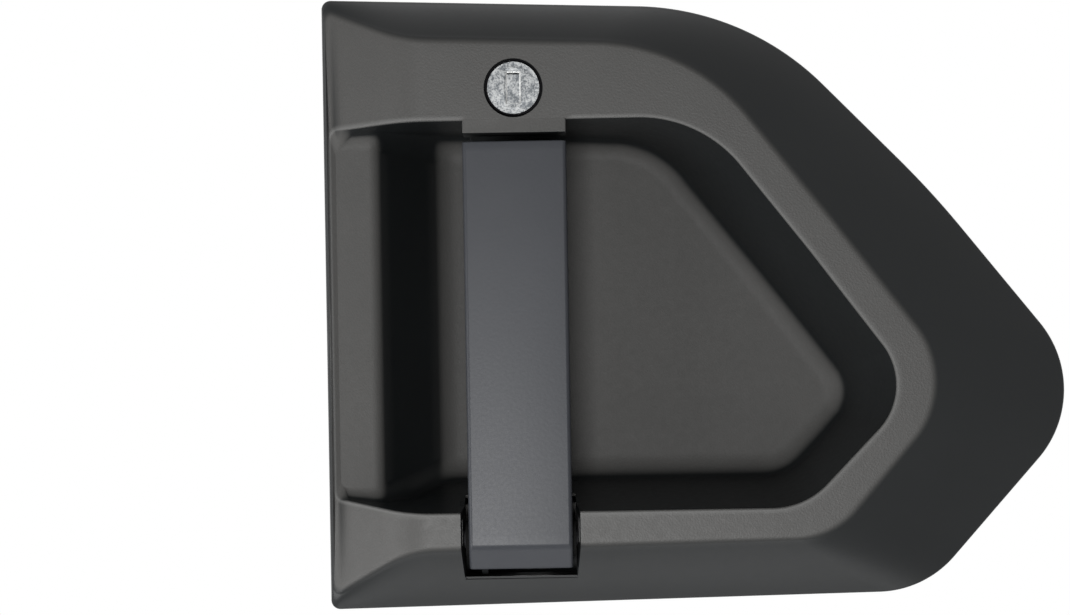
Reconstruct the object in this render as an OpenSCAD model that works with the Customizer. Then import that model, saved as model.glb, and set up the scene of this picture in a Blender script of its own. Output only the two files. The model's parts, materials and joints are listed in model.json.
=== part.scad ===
// Exterior pull handle for a right-hand cab door.
// +X points to the nose, +Z points up and the front faces -Y. The door skin is the plane y = 0.
// The origin is on the door skin, on the grip's centreline, at half the height of the straight edge.

/* [Outline] */
// Grip centreline to the straight edge
edge_x = 63.4; // [60:0.2:70]
// Height of the straight edge
edge_h = 202.4; // [198:0.2:212]
// Straight edge to the point where the nose edges would meet
nose_len = 255.5; // [248:0.5:270]
// How far that point lies below mid-height
nose_drop = 32.9; // [26:0.1:40]
// Fall of the top edge, in degrees
top_fall = 1.97; // [0:0.01:4]
// Rise of the foot edge, in degrees
foot_rise = 0.87; // [0:0.01:3]
// Slope of the upper nose edge, in degrees
nose_up = 48.45; // [46:0.05:51]
// Slope of the lower nose edge, in degrees
nose_low = 48.3; // [46:0.05:51]
// Outward belly of the upper nose edge
belly = 4.4; // [1:0.1:7]
// Corner radius between top and nose
top_r = 90; // [60:1:110]
// Radius of the nose tip
nose_r = 35; // [25:1:42]
// Corner radius between nose and foot
foot_r = 34; // [20:1:45]

/* [Border and rim] */
// Height of the rim above the door skin
rim_h = 21; // [19:0.1:24]
// Upright land round the edge
land_h = 2; // [1:0.1:3]
// Width of the border along the top
bevel_top = 13.7; // [10:0.1:17]
// Width of the border along the upper nose
bevel_up = 35.2; // [30:0.1:40]
// Width of the border along the lower nose
bevel_low = 38.6; // [33:0.1:43]
// Width of the border along the foot
bevel_foot = 19.9; // [17:0.1:23]
// Length over which the straight end ramps up
ramp_run = 34.8; // [28:0.1:40]
// Length of the soft end of the ramp
ramp_blend = 16; // [8:0.5:22]
// Height of the straight edge above the door skin
low_h = 5; // [4.2:0.1:8]
// Roundness of the crest between border and rim
crest_soft = 3; // [1:0.1:5]
// Width of the rim above the bowl
rim_top = 27.365; // [25:0.005:30]
// Width of the rim along the upper nose
rim_up = 11.8; // [9:0.1:15]
// Width of the rim along the lower nose
rim_low = 8.7; // [7:0.1:12]
// Width of the rim below the bowl
rim_foot = 11.773; // [10.5:0.001:13]
// Wall thickness of the moulding
wall = 3; // [2.4:0.1:3.4]
// Width of the sole that carries the gasket
sole_w = 6; // [5:0.1:6.4]

/* [Bowl] */
// Depth of the bowl below the rim
bowl_d = 49; // [44:0.5:53]
// Run of the bowl's top wall
wall_top = 12.1; // [11:0.1:15]
// Run of the wall along the upper nose
wall_up = 21.5; // [18:0.1:25]
// Run of the wall along the lower nose
wall_low = 16.7; // [14:0.1:20]
// Run of the bowl's foot wall
wall_foot = 17.1; // [15:0.1:19]
// Run from the straight edge down to the floor
shelf_run = 41.4; // [39:0.1:44]
// Height of the flat shelf beside the straight edge
shelf_h = 4.4; // [3.8:0.1:4.6]
// Width of that shelf
shelf_w = 12.6; // [10:0.1:14]
// Run of the bowl's top and foot walls down to that shelf
shelf_in = 9; // [8:0.1:10.5]
// How far the upper lip comes in where the ramp runs out
lip_in_top = 3.3; // [0:0.1:5]
// How far the lower lip comes in there
lip_in_foot = 6.9; // [0:0.1:8]
// Radius of the bowl's lip
lip_r = 1; // [0.8:0.1:2]
// Radius of the roll from the shelf into the bowl
roll_r = 5; // [4.5:0.5:8]
// Fillet between the walls and the floor
floor_r = 9; // [6:0.1:10]

/* [Grip] */
// Width of the grip
grip_w = 34; // [30:0.5:36]
// Thickness of the grip
grip_t = 16; // [15:0.1:17]
// Wall of the grip's front shell
grip_wall = 3; // [2.5:0.1:3.5]
// Roundness of the grip's front edges
grip_r = 1.4; // [1:0.1:4]
// Gap between the grip and the tab above it
grip_gap = 2.6; // [1.5:0.1:4]
// Side and end gap of the grip in its notch
notch_gap = 2.6; // [2.2:0.1:3]
// How far each side of the notch draws in behind the rim
notch_in = 1.2; // [0.6:0.1:1.4]
// Length of the slanted end of the grip
heel_h = 7.4; // [6:0.1:8]
// Reach of the tab below the bowl's edge
tab_h = 4.9; // [3:0.1:7]
// Thickness of the rubber stops behind the grip
bump_t = 3.5; // [3:0.1:4.5]

/* [Hinge] */
// Height of the hinge pin above the end of the grip
pin_up = 9.9; // [9:0.1:11]
// Distance of the hinge pin behind the grip's face
pin_in = 10; // [9.5:0.1:10.5]
// Radius of the hinge pin
pin_r = 3; // [2.5:0.1:3.2]
// Radius of the bushes round the pin
bush_r = 4.2; // [3.9:0.1:4.5]
// Running clearance of pins in their bushes
run_gap = 0.05; // [0.02:0.01:0.1]

/* [Release] */
// Length of the crank behind the hinge pin
crank_len = 55; // [53:0.5:58]
// Width of the crank arm
crank_w = 6; // [5:0.1:7]
// Depth of the crank arm
crank_h = 6; // [5:0.1:7]
// Sideways place of the crank arm
crank_x = 4; // [3:0.1:6]
// Thickness of the release lever
lever_t = 3; // [2.5:0.1:3.5]
// Lever pin to the crank, sideways
lever_in = 28; // [26:0.5:32]
// Lever pin above the hinge pin
lever_up = 18; // [17:0.1:20]
// Lever pin to the rod eye
lever_out = 42; // [36:0.5:46]
// Play between crank and lever
lever_gap = 0.4; // [0.3:0.05:0.6]
// Radius of the lever pin
lever_pin_r = 3; // [2.5:0.1:3.5]
// Radius of the hole for a latch rod
rod_r = 2.5; // [2:0.1:2.8]
// Thickness of the carrier plate
plate_t = 2; // [1.5:0.1:3]
// Height of the bosses under the carrier plate
plate_up = 5; // [4:0.1:6]

/* [Lock] */
// Height of the lock above the bowl's upper edge
lock_up = 9.8; // [9.6:0.1:11]
// Radius of the lock's face
face_r = 8.5; // [8:0.1:8.6]
// Radius of the lock barrel
barrel_r = 9.4; // [9.2:0.1:9.8]
// Length of the lock barrel
barrel_len = 33.25; // [32:0.25:38]
// Radius of the turning plug
plug_r = 6.5; // [6.3:0.1:6.8]
// Width of the key shutter
shutter_w = 4.6; // [4:0.1:5]
// Height of the key shutter
shutter_h = 10; // [9:0.1:10.2]
// Width of the keyway
key_w = 2.8; // [2.4:0.1:3]
// Height of the keyway
key_h = 8.6; // [8:0.1:9]
// Length of the lock cam
cam_len = 22; // [18:0.5:28]
// Radius of the hole for a lock rod
lock_rod_r = 2; // [1.5:0.1:2.3]

/* [Fixing] */
// Distance between the studs along the handle
stud_dx = 90; // [84:0.5:92]
// Distance of the upper studs below the top of the straight edge
stud_top = 28.2; // [26.2:0.1:30.2]
// Distance of the lower studs above the foot of the straight edge
stud_foot = 25.2; // [24.2:0.1:26.2]
// Radius of a stud
stud_r = 3; // [2.5:0.1:3]
// Length of a stud behind the door skin
stud_len = 18; // [12:0.5:30]
// Thickness of the gasket
gasket_t = 1.5; // [1:0.1:2]

/* [Hidden] */
$fn = 48;

// Small clearances and margins
slip = 0.15;
over = 1;
eps = 0.01;

// Main levels along Y
rim_y = -rim_h;
floor_y = rim_y + bowl_d;
back_y = floor_y + wall;
sole_y = -gasket_t;

// Height share of the ramp at distance d from the straight edge
low_share = low_h / rim_h;
ramp_slope = (1 - low_share) / (ramp_run - ramp_blend / 2);
function rise(d) = d >= ramp_run ? 1
    : d > ramp_run - ramp_blend ? 1 - ramp_slope / (2 * ramp_blend) * pow(ramp_run - d, 2)
    : low_share + ramp_slope * max(d, 0);

// Plane geometry
function unit(v) = v / norm(v);
function dir(a) = [cos(a), sin(a)];
function meet(p, a, q, b) =
    let (u = dir(a), v = dir(b), d = q - p)
    p + u * (d[0] * v[1] - d[1] * v[0]) / (u[0] * v[1] - u[1] * v[0]);

// A corner at p between a and b, rounded to radius r with n chords
function corner(a, p, b, r, n) = r == 0 ? [p] :
    let (u = unit(a - p), v = unit(b - p), half = acos(u * v) / 2, c = p + unit(u + v) * r / sin(half),
        s = p + u * r / tan(half) - c, e = p + v * r / tan(half) - c, from = atan2(s[1], s[0]),
        turn = (atan2(e[1], e[0]) - from + 540) % 360 - 180)
    [for (i = [0 : n]) c + r * dir(from + turn * i / n)];

// A closed loop from corners given as [x, z, r, n]
function loop(c) = let (n = len(c))
    [for (i = [0 : n - 1]) let (a = c[(i + n - 1) % n], p = c[i], b = c[(i + 1) % n])
        each corner([a[0], a[1]], [p[0], p[1]], [b[0], b[1]], p[2], p[3])];

// A nose outline is [left, top z, top angle, tip, upper angle, lower angle, foot z, foot angle]
function top_at(o, x) = o[1] + tan(o[2]) * (x - o[0]);
function foot_at(o, x) = o[6] + tan(o[7]) * (x - o[0]);
function top_corner(o) = meet([o[0], o[1]], o[2], o[3], -o[4]);
function foot_corner(o) = meet([o[0], o[6]], o[7], o[3], o[5]);
function up_out(o) = dir(90 - o[4]);
function low_out(o) = dir(o[5] - 90);

// The next outline inside o, in by run = [top, upper nose, lower nose, foot], with its own edge angles
function inside(o, left, run, top_a, up_a, low_a, foot_a) =
    [left, top_at(o, left) - run[0], top_a,
        meet(o[3] - run[1] * up_out(o), -up_a, o[3] - run[2] * low_out(o), low_a), up_a, low_a,
        foot_at(o, left) + run[3], foot_a];

// Points of an outline: rounded corners, with stations xs along the top and the foot
// ends = [left corner, then stations], each as [x, top z, foot z]
function nose_points(o, r, bulge, ends) =
    let (tc = top_corner(o), fc = foot_corner(o), mid = (tc + o[3]) / 2 + bulge * up_out(o),
        n = len(ends))
    loop(concat(
        [for (i = [0 : n - 1]) [ends[i][0], ends[i][1], i == 0 ? r[0] : 0, 3]],
        [[tc[0], tc[1], r[1], 8], [mid[0], mid[1], belly_r, 3], [o[3][0], o[3][1], r[2], 8],
            [fc[0], fc[1], r[3], 5]],
        [for (i = [n - 1 : -1 : 0]) [ends[i][0], ends[i][2], i == 0 ? r[0] : 0, 3]]));
// flare = [top, foot] lets the edges run outwards where the ramp is low
function nose_ends(o, xs, flare) = [for (x = concat([o[0]], xs)) let (low = 1 - rise(x + edge_x))
    [x, top_at(o, x) + flare[0] * low, foot_at(o, x) - flare[1] * low]];
function nose_loop(o, r, bulge, xs, flare) = nose_points(o, r, bulge, nose_ends(o, xs, flare));

// Edge angles of the rim, the mouth and the floor
crest_up = 52.2;
crest_low = 49.4;
bowl_up = 52.5;
bowl_low = 46;
belly_r = 300;
flat_belly = 0.6;
// Corner radii of each outline: straight edge, top, tip, foot
outer_radii = [3, top_r, nose_r, foot_r];
crest_radii = [2, 65, 29.5, 27];
mouth_radii = [3, 43, 22, 26];
foot_radii = [2, 25, 6, 10];
inner_radii = [3, 17, 3, 4];
edge_soft = 1.2;
lip_left = 2;
lip_step = 0.25;

// Outlines from the edge inwards
outer = [-edge_x, edge_h / 2, -top_fall, [nose_len - edge_x, -nose_drop], nose_up, nose_low,
    -edge_h / 2, foot_rise];
crest = inside(outer, -edge_x + edge_soft, [bevel_top, bevel_up, bevel_low, bevel_foot],
    -top_fall, crest_up, crest_low, foot_rise);
sole_left = -edge_x + sole_w;
mouth_left = -edge_x + lip_left;
mouth = inside(crest, mouth_left, [rim_top, rim_up, rim_low, rim_foot], 0, bowl_up, bowl_low, 0);
floor_left = mouth_left + shelf_run;
bowl_floor = inside(mouth, floor_left, [wall_top, wall_up, wall_low, wall_foot], 0, bowl_up, bowl_low, 0);
floor_in = inside(bowl_floor, floor_left + 4, [14, 8, 8, 14], 0, bowl_up, bowl_low, 0);
function inset(d) = inside(outer, -edge_x + d, [1, 1, 1, 1] * d, -top_fall, nose_up, nose_low, foot_rise);
sole = inset(sole_w);
crest_back = inside(crest, sole_left + lip_step, [1, 1, 1, 1] * wall / 2,
    -top_fall, crest_up, crest_low, foot_rise);

// Stations along the ramp
stations = 10;
rim_xs = [for (i = [0 : stations]) sole_left + 4.2 + i * 3.5];
inner_xs = [for (i = [0 : stations]) floor_in[0] + inner_radii[0] + 1 + i];

outer_pts = nose_loop(outer, outer_radii, belly, rim_xs, [0, 0]);
crest_pts = nose_loop(crest, crest_radii, flat_belly, rim_xs, [bevel_top, bevel_foot]);
mouth_ends = nose_ends(mouth, rim_xs, [-lip_in_top, -lip_in_foot]);
mouth_pts = nose_points(mouth, mouth_radii, flat_belly, mouth_ends);
inner_pts = nose_loop(floor_in, inner_radii, flat_belly, inner_xs, [0, 0]);
sole_pts = nose_loop(sole, outer_radii - [1, 1, 1, 1], belly, rim_xs, [0, 0]);
crest_back_pts = nose_loop(crest_back, crest_radii, flat_belly, rim_xs, [bevel_top, bevel_foot]);
cols = len(outer_pts);

// Level of a rim point, held down to the low edge beside the open end
function rim_level(p, left, soft) =
    rim_y * (low_share + (rise(p[0] + edge_x) - low_share) * min(1, (p[0] - left) / soft));
mouth_y = [for (p = mouth_pts) rim_level(p, mouth_left, mouth_radii[0])];
crest_y = [for (p = crest_pts) rim_y * rise(p[0] + edge_x)];
crest_back_y = [for (p = crest_back_pts) rim_level(p, crest_back[0], crest_radii[0]) + wall];

// Bed of the bowl at x, set back by off: flat shelf, roll, sloping wall, fillet and floor
roll_c = [mouth_left + shelf_w, roll_r - shelf_h];
bed_c = [floor_left, floor_y - floor_r];
bed_steep = atan2(bed_c[1] - roll_c[1], bed_c[0] - roll_c[0])
    + asin((roll_r + floor_r) / norm(bed_c - roll_c));
function bed_at(x, off) =
    let (r = roll_r - off, b = floor_r + off, u = x - roll_c[0], v = bed_c[0] - x)
    u <= 0 ? off - shelf_h
    : v <= 0 ? floor_y + off
    : u <= r * sin(bed_steep) ? roll_c[1] - sqrt(r * r - u * u)
    : v <= b * sin(bed_steep) ? bed_c[1] + sqrt(b * b - v * v)
    : roll_c[1] - r * cos(bed_steep) + (u - r * sin(bed_steep)) * tan(bed_steep);
// Places along x where the bed changes
bed_n = 6;
function bed_xs(off) = let (r = (roll_r - off) * sin(bed_steep), b = (floor_r + off) * sin(bed_steep))
    [roll_c[0], roll_c[0] + r / 2, roll_c[0] + r, bed_c[0] - b, bed_c[0] - b / 2, bed_c[0]];

// Foot of the bowl's wall on the bed: its run grows from the shelf down to the floor
function foot_run(run, x) = shelf_in + (run - shelf_in) * (bed_at(x, 0) + shelf_h) / (floor_y + shelf_h);
foot_ends = [for (x = concat([mouth_left + lip_left], rim_xs))
    [x, mouth[1] - foot_run(wall_top, x), mouth[6] + foot_run(wall_foot, x)]];
foot_pts = nose_points(bowl_floor, foot_radii, flat_belly, foot_ends);

// Section of the bowl's wall in column j: lip of radius a, straight wall, fillet of radius b
lip_n = 3;
fillet_n = 4;
function wall_data(j) =
    let (run = foot_pts[j] - mouth_pts[j], l = norm(run), bed = bed_at(foot_pts[j][0], 0),
        d = bed - mouth_y[j], a = min(lip_r, 0.3 * d), b = min(floor_r, 0.75 * l, 0.9 * d),
        far = norm([l, d - a - b]), steep = atan2(d - a - b, l) + asin(min(1, (a + b) / far)))
    [l, d, a, b, steep, run / l, bed_at(foot_pts[j][0], wall) - bed - wall];
walls = [for (j = [0 : cols - 1]) wall_data(j)];
function lip_at(w, t) = [w[2] * sin(w[4] * t), w[2] * (1 - cos(w[4] * t))];
function fillet_at(w, t, off) =
    [w[0] - (w[3] + off) * sin(w[4] * (1 - t)), w[1] - w[3] + (w[3] + off) * cos(w[4] * (1 - t))];
// Back of the lip: a concentric roll, or a plain corner where the lip is tighter than the wall
function lip_back_at(w, t) =
    let (a = w[2] - wall, s = w[4], foot = [a * sin(s), w[2] - a * cos(s)],
        rise = (foot[1] - wall) / sin(s), tip = foot - dir(s) * rise, to = fillet_at(w, 0, wall))
    a > over ? [a * sin(s * t), w[2] - a * cos(s * t)] : tip + (to - tip) * t * 0.4;
function wall_ring(at) = [for (j = [0 : cols - 1]) let (w = walls[j], p = mouth_pts[j] + w[5] * at[j][0])
    [p[0], mouth_y[j] + at[j][1], p[1]]];
// The same behind the moulding, sunk by share of the bed's own set-back and kept right of the sole
function back_ring(at, share, step) = let (ring = wall_ring(at), left = sole_left + step * lip_step)
    [for (j = [0 : cols - 1]) let (p = ring[j]) [max(p[0], left), p[1] + walls[j][6] * share, p[2]]];
// Rings along the bed from a ring of wall feet to the middle of the floor
function bed_share(x0, x1, xs, k) = x0 >= floor_left ? k / (bed_n + 1)
    : min(max((xs[k - 1] - x0) / (x1 - x0), 0.02 * k), 1 - 0.02 * (bed_n + 1 - k));
function bed_ring(feet, off, k) = let (xs = bed_xs(off)) [for (j = [0 : cols - 1])
    let (e = feet[j], f = inner_pts[j], t = bed_share(e[0], f[0], xs, k), x = e[0] + (f[0] - e[0]) * t)
    [x, bed_at(x, off), e[2] + (f[1] - e[2]) * t]];

// Crest between border and rim, rounded as a parabola of the two slopes
crest_n = 3;
function space(p, y) = [p[0], y, p[1]];
function crest_at(j, t) =
    let (a = space(outer_pts[j], sole_y - land_h), b = space(crest_pts[j], crest_y[j]),
        c = space(mouth_pts[j], mouth_y[j]), s = min(crest_soft, 0.45 * norm(a - b), 0.45 * norm(c - b)),
        p = b + s * unit(a - b), q = b + s * unit(c - b))
    (1 - t) * (1 - t) * p + 2 * t * (1 - t) * b + t * t * q;

function flat_ring(pts, y) = [for (p = pts) [p[0], y, p[1]]];
function level_ring(pts, ys) = [for (j = [0 : cols - 1]) [pts[j][0], ys[j], pts[j][1]]];
each_wall = [0 : cols - 1];

// Rings from the bowl floor out to the edge, and back behind the moulding to the floor's rear face
feet = wall_ring([for (j = each_wall) fillet_at(walls[j], 1, 0)]);
back_feet = back_ring([for (j = each_wall) fillet_at(walls[j], 1, wall)], 1, fillet_n + 5);
shell_rings = concat(
    [flat_ring(inner_pts, floor_y)],
    [for (k = [bed_n : -1 : 1]) bed_ring(feet, 0, k)],
    [for (i = [fillet_n : -1 : 0]) wall_ring([for (j = each_wall) fillet_at(walls[j], i / fillet_n, 0)])],
    [for (i = [lip_n : -1 : 0]) wall_ring([for (j = each_wall) lip_at(walls[j], i / lip_n)])],
    [for (i = [crest_n : -1 : 0]) [for (j = each_wall) crest_at(j, i / crest_n)]],
    [flat_ring(outer_pts, sole_y - land_h), flat_ring(outer_pts, sole_y), flat_ring(sole_pts, sole_y),
        level_ring(crest_back_pts, crest_back_y)],
    [for (i = [0 : 2]) back_ring([for (j = each_wall) lip_back_at(walls[j], i / 2)], 0, i + 2)],
    [for (i = [0 : fillet_n])
        back_ring([for (j = each_wall) fillet_at(walls[j], i / fillet_n, wall)], i / fillet_n, i + 5)],
    [for (k = [1 : bed_n]) bed_ring(back_feet, wall, k)],
    [flat_ring(inner_pts, back_y)]);

// Closed solid through rings of n points
module loft(rings) {
    n = len(rings[0]);
    m = len(rings);
    sides = [for (i = [0 : m - 2], j = [0 : n - 1]) let (k = (j + 1) % n, a = i * n, b = a + n)
        each [[a + j, b + k, a + k], [a + j, b + j, b + k]]];
    ends = [[for (j = [0 : n - 1]) j], [for (j = [n - 1 : -1 : 0]) (m - 1) * n + j]];
    polyhedron([for (r = rings) each r], concat(sides, ends), convexity = 8);
}

// Helpers: a cylinder from y0 to y1, one from x0 to x1, and a plate of outline pts
module rod_y(p, r, y0, y1) {
    translate([p[0], y1, p[1]]) rotate([90, 0, 0]) cylinder(r = r, h = y1 - y0);
}
module rod_x(p, r, x0, x1) {
    translate([x0, p[0], p[1]]) rotate([0, 90, 0]) cylinder(r = r, h = x1 - x0);
}
module plate_y(y0, y1) {
    translate([0, y1, 0]) rotate([90, 0, 0]) linear_extrude(y1 - y0) children();
}
module prism_x(x0, x1, pts) {
    translate([x0, 0, 0]) rotate([90, 0, 90]) linear_extrude(x1 - x0) polygon(pts);
}
module box(lo, hi) {
    translate(lo) cube(hi - lo);
}

// Places that several pieces share
mouth_top = mouth[1];
grip_top = mouth_top - tab_h - grip_gap;
crest_foot = foot_at(crest, 0);
heel_z = crest_foot - heel_h;
bevel_slope = (rim_h - gasket_t - land_h) / bevel_foot;
heel_y = rim_y + heel_h * bevel_slope;
grip_half = grip_w / 2;
grip_back_y = rim_y + grip_t;
hinge = [rim_y + pin_in, heel_z + pin_up];
notch_x = grip_half + notch_gap;
notch_z = heel_z - notch_gap;
pocket_y = grip_back_y + 8;
cheek_gap = notch_gap - notch_in;
cheek_x = grip_half + cheek_gap + wall;
notch_d = 9;
lock_at = [0, mouth_top + lock_up];

// Studs: their bosses reach up to the rim, which falls away over the ramp
stud_at = [for (x = [-1, 1], z = [edge_h / 2 - stud_top, stud_foot - edge_h / 2]) [x * stud_dx / 2, z]];
stud_boss_r = 5.5;
stud_root_r = 3.6;
stud_root = 8.5;
boss_y = sole_y - 0.2;
function stud_boss_y(p) = rim_y * rise(p[0] - stud_boss_r + edge_x) + wall / 2;

// Lock levels
face_y = rim_y + 0.3;
face_t = 1.8;
barrel_y = face_y + face_t + slip;
barrel_end = barrel_y + barrel_len;
boss_r = barrel_r + wall;
boss_end = 2;
seal_t = 1;
clip_t = 1.4;
clip_in = 1.2;
clip_y = boss_end + seal_t;

// Stop behind the top of the grip
bump_r = 4;
stem_r = 2;
stem_len = 4;
bump_x = 9;
bump_z = grip_top - 8;
bump_gap = 0.3;
ledge_y = grip_back_y + bump_gap + bump_t;
ledge_x = bump_x + bump_r + 2;
ledge_z = bump_z - bump_r - 2;
ledge_t = 9;

// Knuckle of the grip, with a slot for the return spring
knuckle_z = hinge[1] + 12;
cover_t = 3;
grip_in = grip_half - grip_wall;
slot_x = [-13.5, -4.5];
skin = 1.8;
spring_r = 4.5;
wire_r = 0.6;
slot_front = hinge[0] - spring_r - wire_r - 0.4;
spring_back = hinge[0] + spring_r + wire_r;

// Release levels
plate_y0 = back_y + plate_up;
plate_y1 = plate_y0 + plate_t;
flange_t = 1;
lever_y0 = plate_y1 + flange_t + slip;
lever_y1 = lever_y0 + lever_t;
lever_at = [crank_x + lever_in, hinge[1] + lever_up];
hub_r = 9;
lever_bush_r = 5;
pad_r = 3;
eye_r = 6.5;
eye_hole_r = 4;
crank_top = hinge[1] + crank_h / 2;
pad_at = [crank_x, crank_top + lever_gap + pad_r];
pad_root = pad_at + [0, pad_r];
lever_arm_r = 7;
rod_at = lever_at + [lever_out, 0];
carrier_at = [for (p = [[-6, 18], [32, 18], [13, 42]]) lever_at + p];
screw_r = 1.9;
boss_screw_r = 4.5;
carrier_head_h = 2.4;
plate_window = lever_at + [13, 22];
plate_window_r = 7;
peg_r = 2;
lever_spring_r = 4.6;
lever_wire_r = 0.5;
spring_y = lever_y1 + lever_wire_r + slip;
peg_top = spring_y + 3.4;
carrier_peg = lever_at + [lever_spring_r + lever_wire_r + peg_r, 13];
lever_peg = lever_at - [13, lever_spring_r + lever_wire_r + peg_r];

// Ring of a retaining clip on the Y axis at p, open towards +Z
module clip_ring_y(p, r_in, r_out, y0, y1, mouth_w) {
    difference() {
        rod_y(p, r_out, y0, y1);
        rod_y(p, r_in, y0 - over, y1 + over);
        box([p[0] - mouth_w / 2, y0 - over, p[1]], [p[0] + mouth_w / 2, y1 + over, p[1] + r_out + over]);
    }
}

// Flat link between two round ends
module link_y(p, r, q, s, y0, y1) {
    n = 0.98 * unit([p[1] - q[1], q[0] - p[0]]);
    rod_y(p, r, y0, y1);
    rod_y(q, s, y0, y1);
    plate_y(y0, y1) polygon([p + n * r, q + n * s, q - n * s, p - n * r]);
}

// Wire of radius w along path, with its section held square to axis
function sweep_ring(path, i, w, axis, n) =
    let (m = len(path), t = unit(path[min(i + 1, m - 1)] - path[max(i - 1, 0)]),
        side = unit(cross(t, axis)), up = cross(side, t))
    [for (k = [0 : n - 1]) path[i] + w * (cos(360 * k / n) * side - sin(360 * k / n) * up)];

// Torsion spring about Z: turns from angle a0, rising by pitch, with straight legs at both ends
module torsion_spring(r, w, a0, turns, pitch, leg_a, leg_b) {
    steps = 12;
    n = round(turns * steps);
    coil = [for (i = [0 : n]) let (a = a0 + 360 * i / steps) [r * cos(a), r * sin(a), pitch * i / steps]];
    a1 = a0 + 360 * n / steps;
    path = concat([coil[0] - leg_a * [-sin(a0), cos(a0), 0]], coil,
        [coil[n] + leg_b * [-sin(a1), cos(a1), 0]]);
    loft([for (i = [0 : n + 2]) sweep_ring(path, i, w, [0, 0, 1], 8)]);
}

// Section of the grip: soft corners in front and behind
module grip_section() {
    d = grip_back_y - rim_y;
    rear_r = grip_wall;
    translate([-grip_half, rim_y + grip_r]) square([grip_w, d - grip_r - rear_r]);
    translate([-grip_half + grip_r, rim_y]) square([grip_w - 2 * grip_r, grip_r]);
    translate([-grip_half + rear_r, grip_back_y - rear_r]) square([grip_w - 2 * rear_r, rear_r]);
    for (s = [-1, 1]) {
        translate([s * (grip_half - grip_r), rim_y + grip_r]) circle(grip_r);
        translate([s * (grip_half - rear_r), grip_back_y - rear_r]) circle(rear_r);
    }
}

// Pocket for the heel of the grip: its side profile behind the rim and border
pocket_pts = [[rim_y + 4, mouth[6] - 1], [rim_y + 4, crest_foot - 0.5],
    [rim_y + 4 + bevel_slope * (crest_foot - notch_z + wall), notch_z - wall],
    [pocket_y + wall, notch_z - wall], [pocket_y + wall, mouth[6] + 5]];

// Stiffening ribs behind the rim: foot point on the bowl's edge, direction, rim width, border width
rib_t = 2;
rib_z = 3.5;
top_end = top_corner(mouth);
foot_end = foot_corner(mouth);
ribs = concat(
    [for (x = [-24, 24]) [[x, mouth_top], [0, 1], top_at(crest, x) - mouth_top, bevel_top]],
    [for (t = [0.45, 0.75]) [top_end + (mouth[3] - top_end) * t, up_out(mouth), rim_up, bevel_up]],
    [[(foot_end + mouth[3]) / 2, low_out(mouth), rim_low, bevel_low]],
    [for (x = [30, 64]) [[x, mouth[6]], [0, -1], mouth[6] - foot_at(crest, x), bevel_foot]]);
module rib(p, d, rim_w, border_w) {
    reach = rim_w + border_w - sole_w - 0.7;
    translate([p[0], 0, p[1]]) rotate([0, atan2(d[0], d[1]), 0])
        prism_x(-rib_t / 2, rib_t / 2, [[rim_y + wall / 2, wall / 2], [rim_y + wall / 2, rim_w + 0.7],
            [sole_y - rib_z, reach], [sole_y - rib_z + over, reach], [sole_y - rib_z + over, -wall / 2]]);
}

notch_pts = let (a = notch_x + notch_in * over / notch_d, b = grip_half + cheek_gap)
    [[-a, rim_y - over], [a, rim_y - over], [b, rim_y + notch_d], [b, pocket_y], [-b, pocket_y],
        [-b, rim_y + notch_d]];
module housing() {
    color([0.13, 0.13, 0.14]) difference() {
        union() {
            difference() {
                union() {
                    loft(shell_rings);
                    prism_x(-cheek_x, cheek_x, pocket_pts);
                    // tab under the lock and the ledge behind the grip
                    box([-grip_half, rim_y + slip, mouth_top - tab_h],
                        [grip_half, ledge_y + over, mouth_top]);
                    box([-ledge_x, ledge_y, ledge_z], [ledge_x, ledge_y + ledge_t, bump_z + bump_r + 2]);
                    box([-ledge_x, ledge_y + ledge_t - wall, ledge_z],
                        [ledge_x, ledge_y + ledge_t, mouth_top - 0.5]);
                    for (r = ribs) rib(r[0], r[1], r[2], r[3]);
                }
                // notch for the grip, its sides drawn in behind the rim
                translate([0, 0, notch_z]) linear_extrude(mouth[6] + 9 - notch_z) polygon(notch_pts);
                // way out for the crank
                box([crank_x - crank_w, 0, notch_z + over],
                    [crank_x + crank_w, pocket_y + wall + over, mouth[6] + 1]);
                // room for the lock's seal and clip
                rod_y(lock_at, boss_r + 2 * slip, boss_end, clip_y + clip_t + 2 * slip);
            }
            rod_y(lock_at, boss_r, rim_y + wall / 2, boss_end);
            for (p = stud_at) rod_y(p, stud_boss_r, stud_boss_y(p), boss_y);
            for (p = carrier_at) rod_y(p, boss_screw_r, back_y - over, plate_y0);
            // seat of the return spring
            box([slot_x[0] + 2 * slip, spring_back, notch_z - over],
                [slot_x[0] + 2.5, pocket_y + over, hinge[1] - spring_r + 0.5]);
        }
        rod_y(lock_at, barrel_r + slip / 2, rim_y - over, barrel_end + over);
        for (p = stud_at) rod_y(p, stud_root_r, boss_y - stud_root, boss_y + over);
        for (p = carrier_at) rod_y(p, screw_r, plate_y0 - screw_bite - 2 * slip, plate_y0 + over);
        for (s = [-1, 1]) rod_y([s * bump_x, bump_z], stem_r, ledge_y - over, ledge_y + stem_len);
        rod_x(hinge, pin_r + run_gap, -cheek_x - over, cheek_x + over);
    }
}

gasket_in = 0.8;
module perimeter_gasket() {
    color([0.07, 0.07, 0.07]) plate_y(sole_y, 0) difference() {
        polygon(nose_loop(inset(gasket_in), outer_radii - [1, 1, 1, 1] * 0.5, belly, rim_xs, [0, 0]));
        polygon(nose_loop(inset(sole_w - gasket_in), outer_radii - [1, 1, 1, 1], belly, rim_xs, [0, 0]));
    }
}

module mounting_studs() {
    color([0.72, 0.73, 0.75]) for (p = stud_at) {
        rod_y(p, stud_root_r, boss_y - stud_root, boss_y);
        rod_y(p, stud_r, boss_y - eps, stud_len);
    }
}

module bump_stops() {
    color([0.06, 0.06, 0.06]) for (s = [-1, 1]) {
        rod_y([s * bump_x, bump_z], bump_r, ledge_y - bump_t, ledge_y);
        rod_y([s * bump_x, bump_z], stem_r, ledge_y - eps, ledge_y + stem_len);
    }
}

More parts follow.
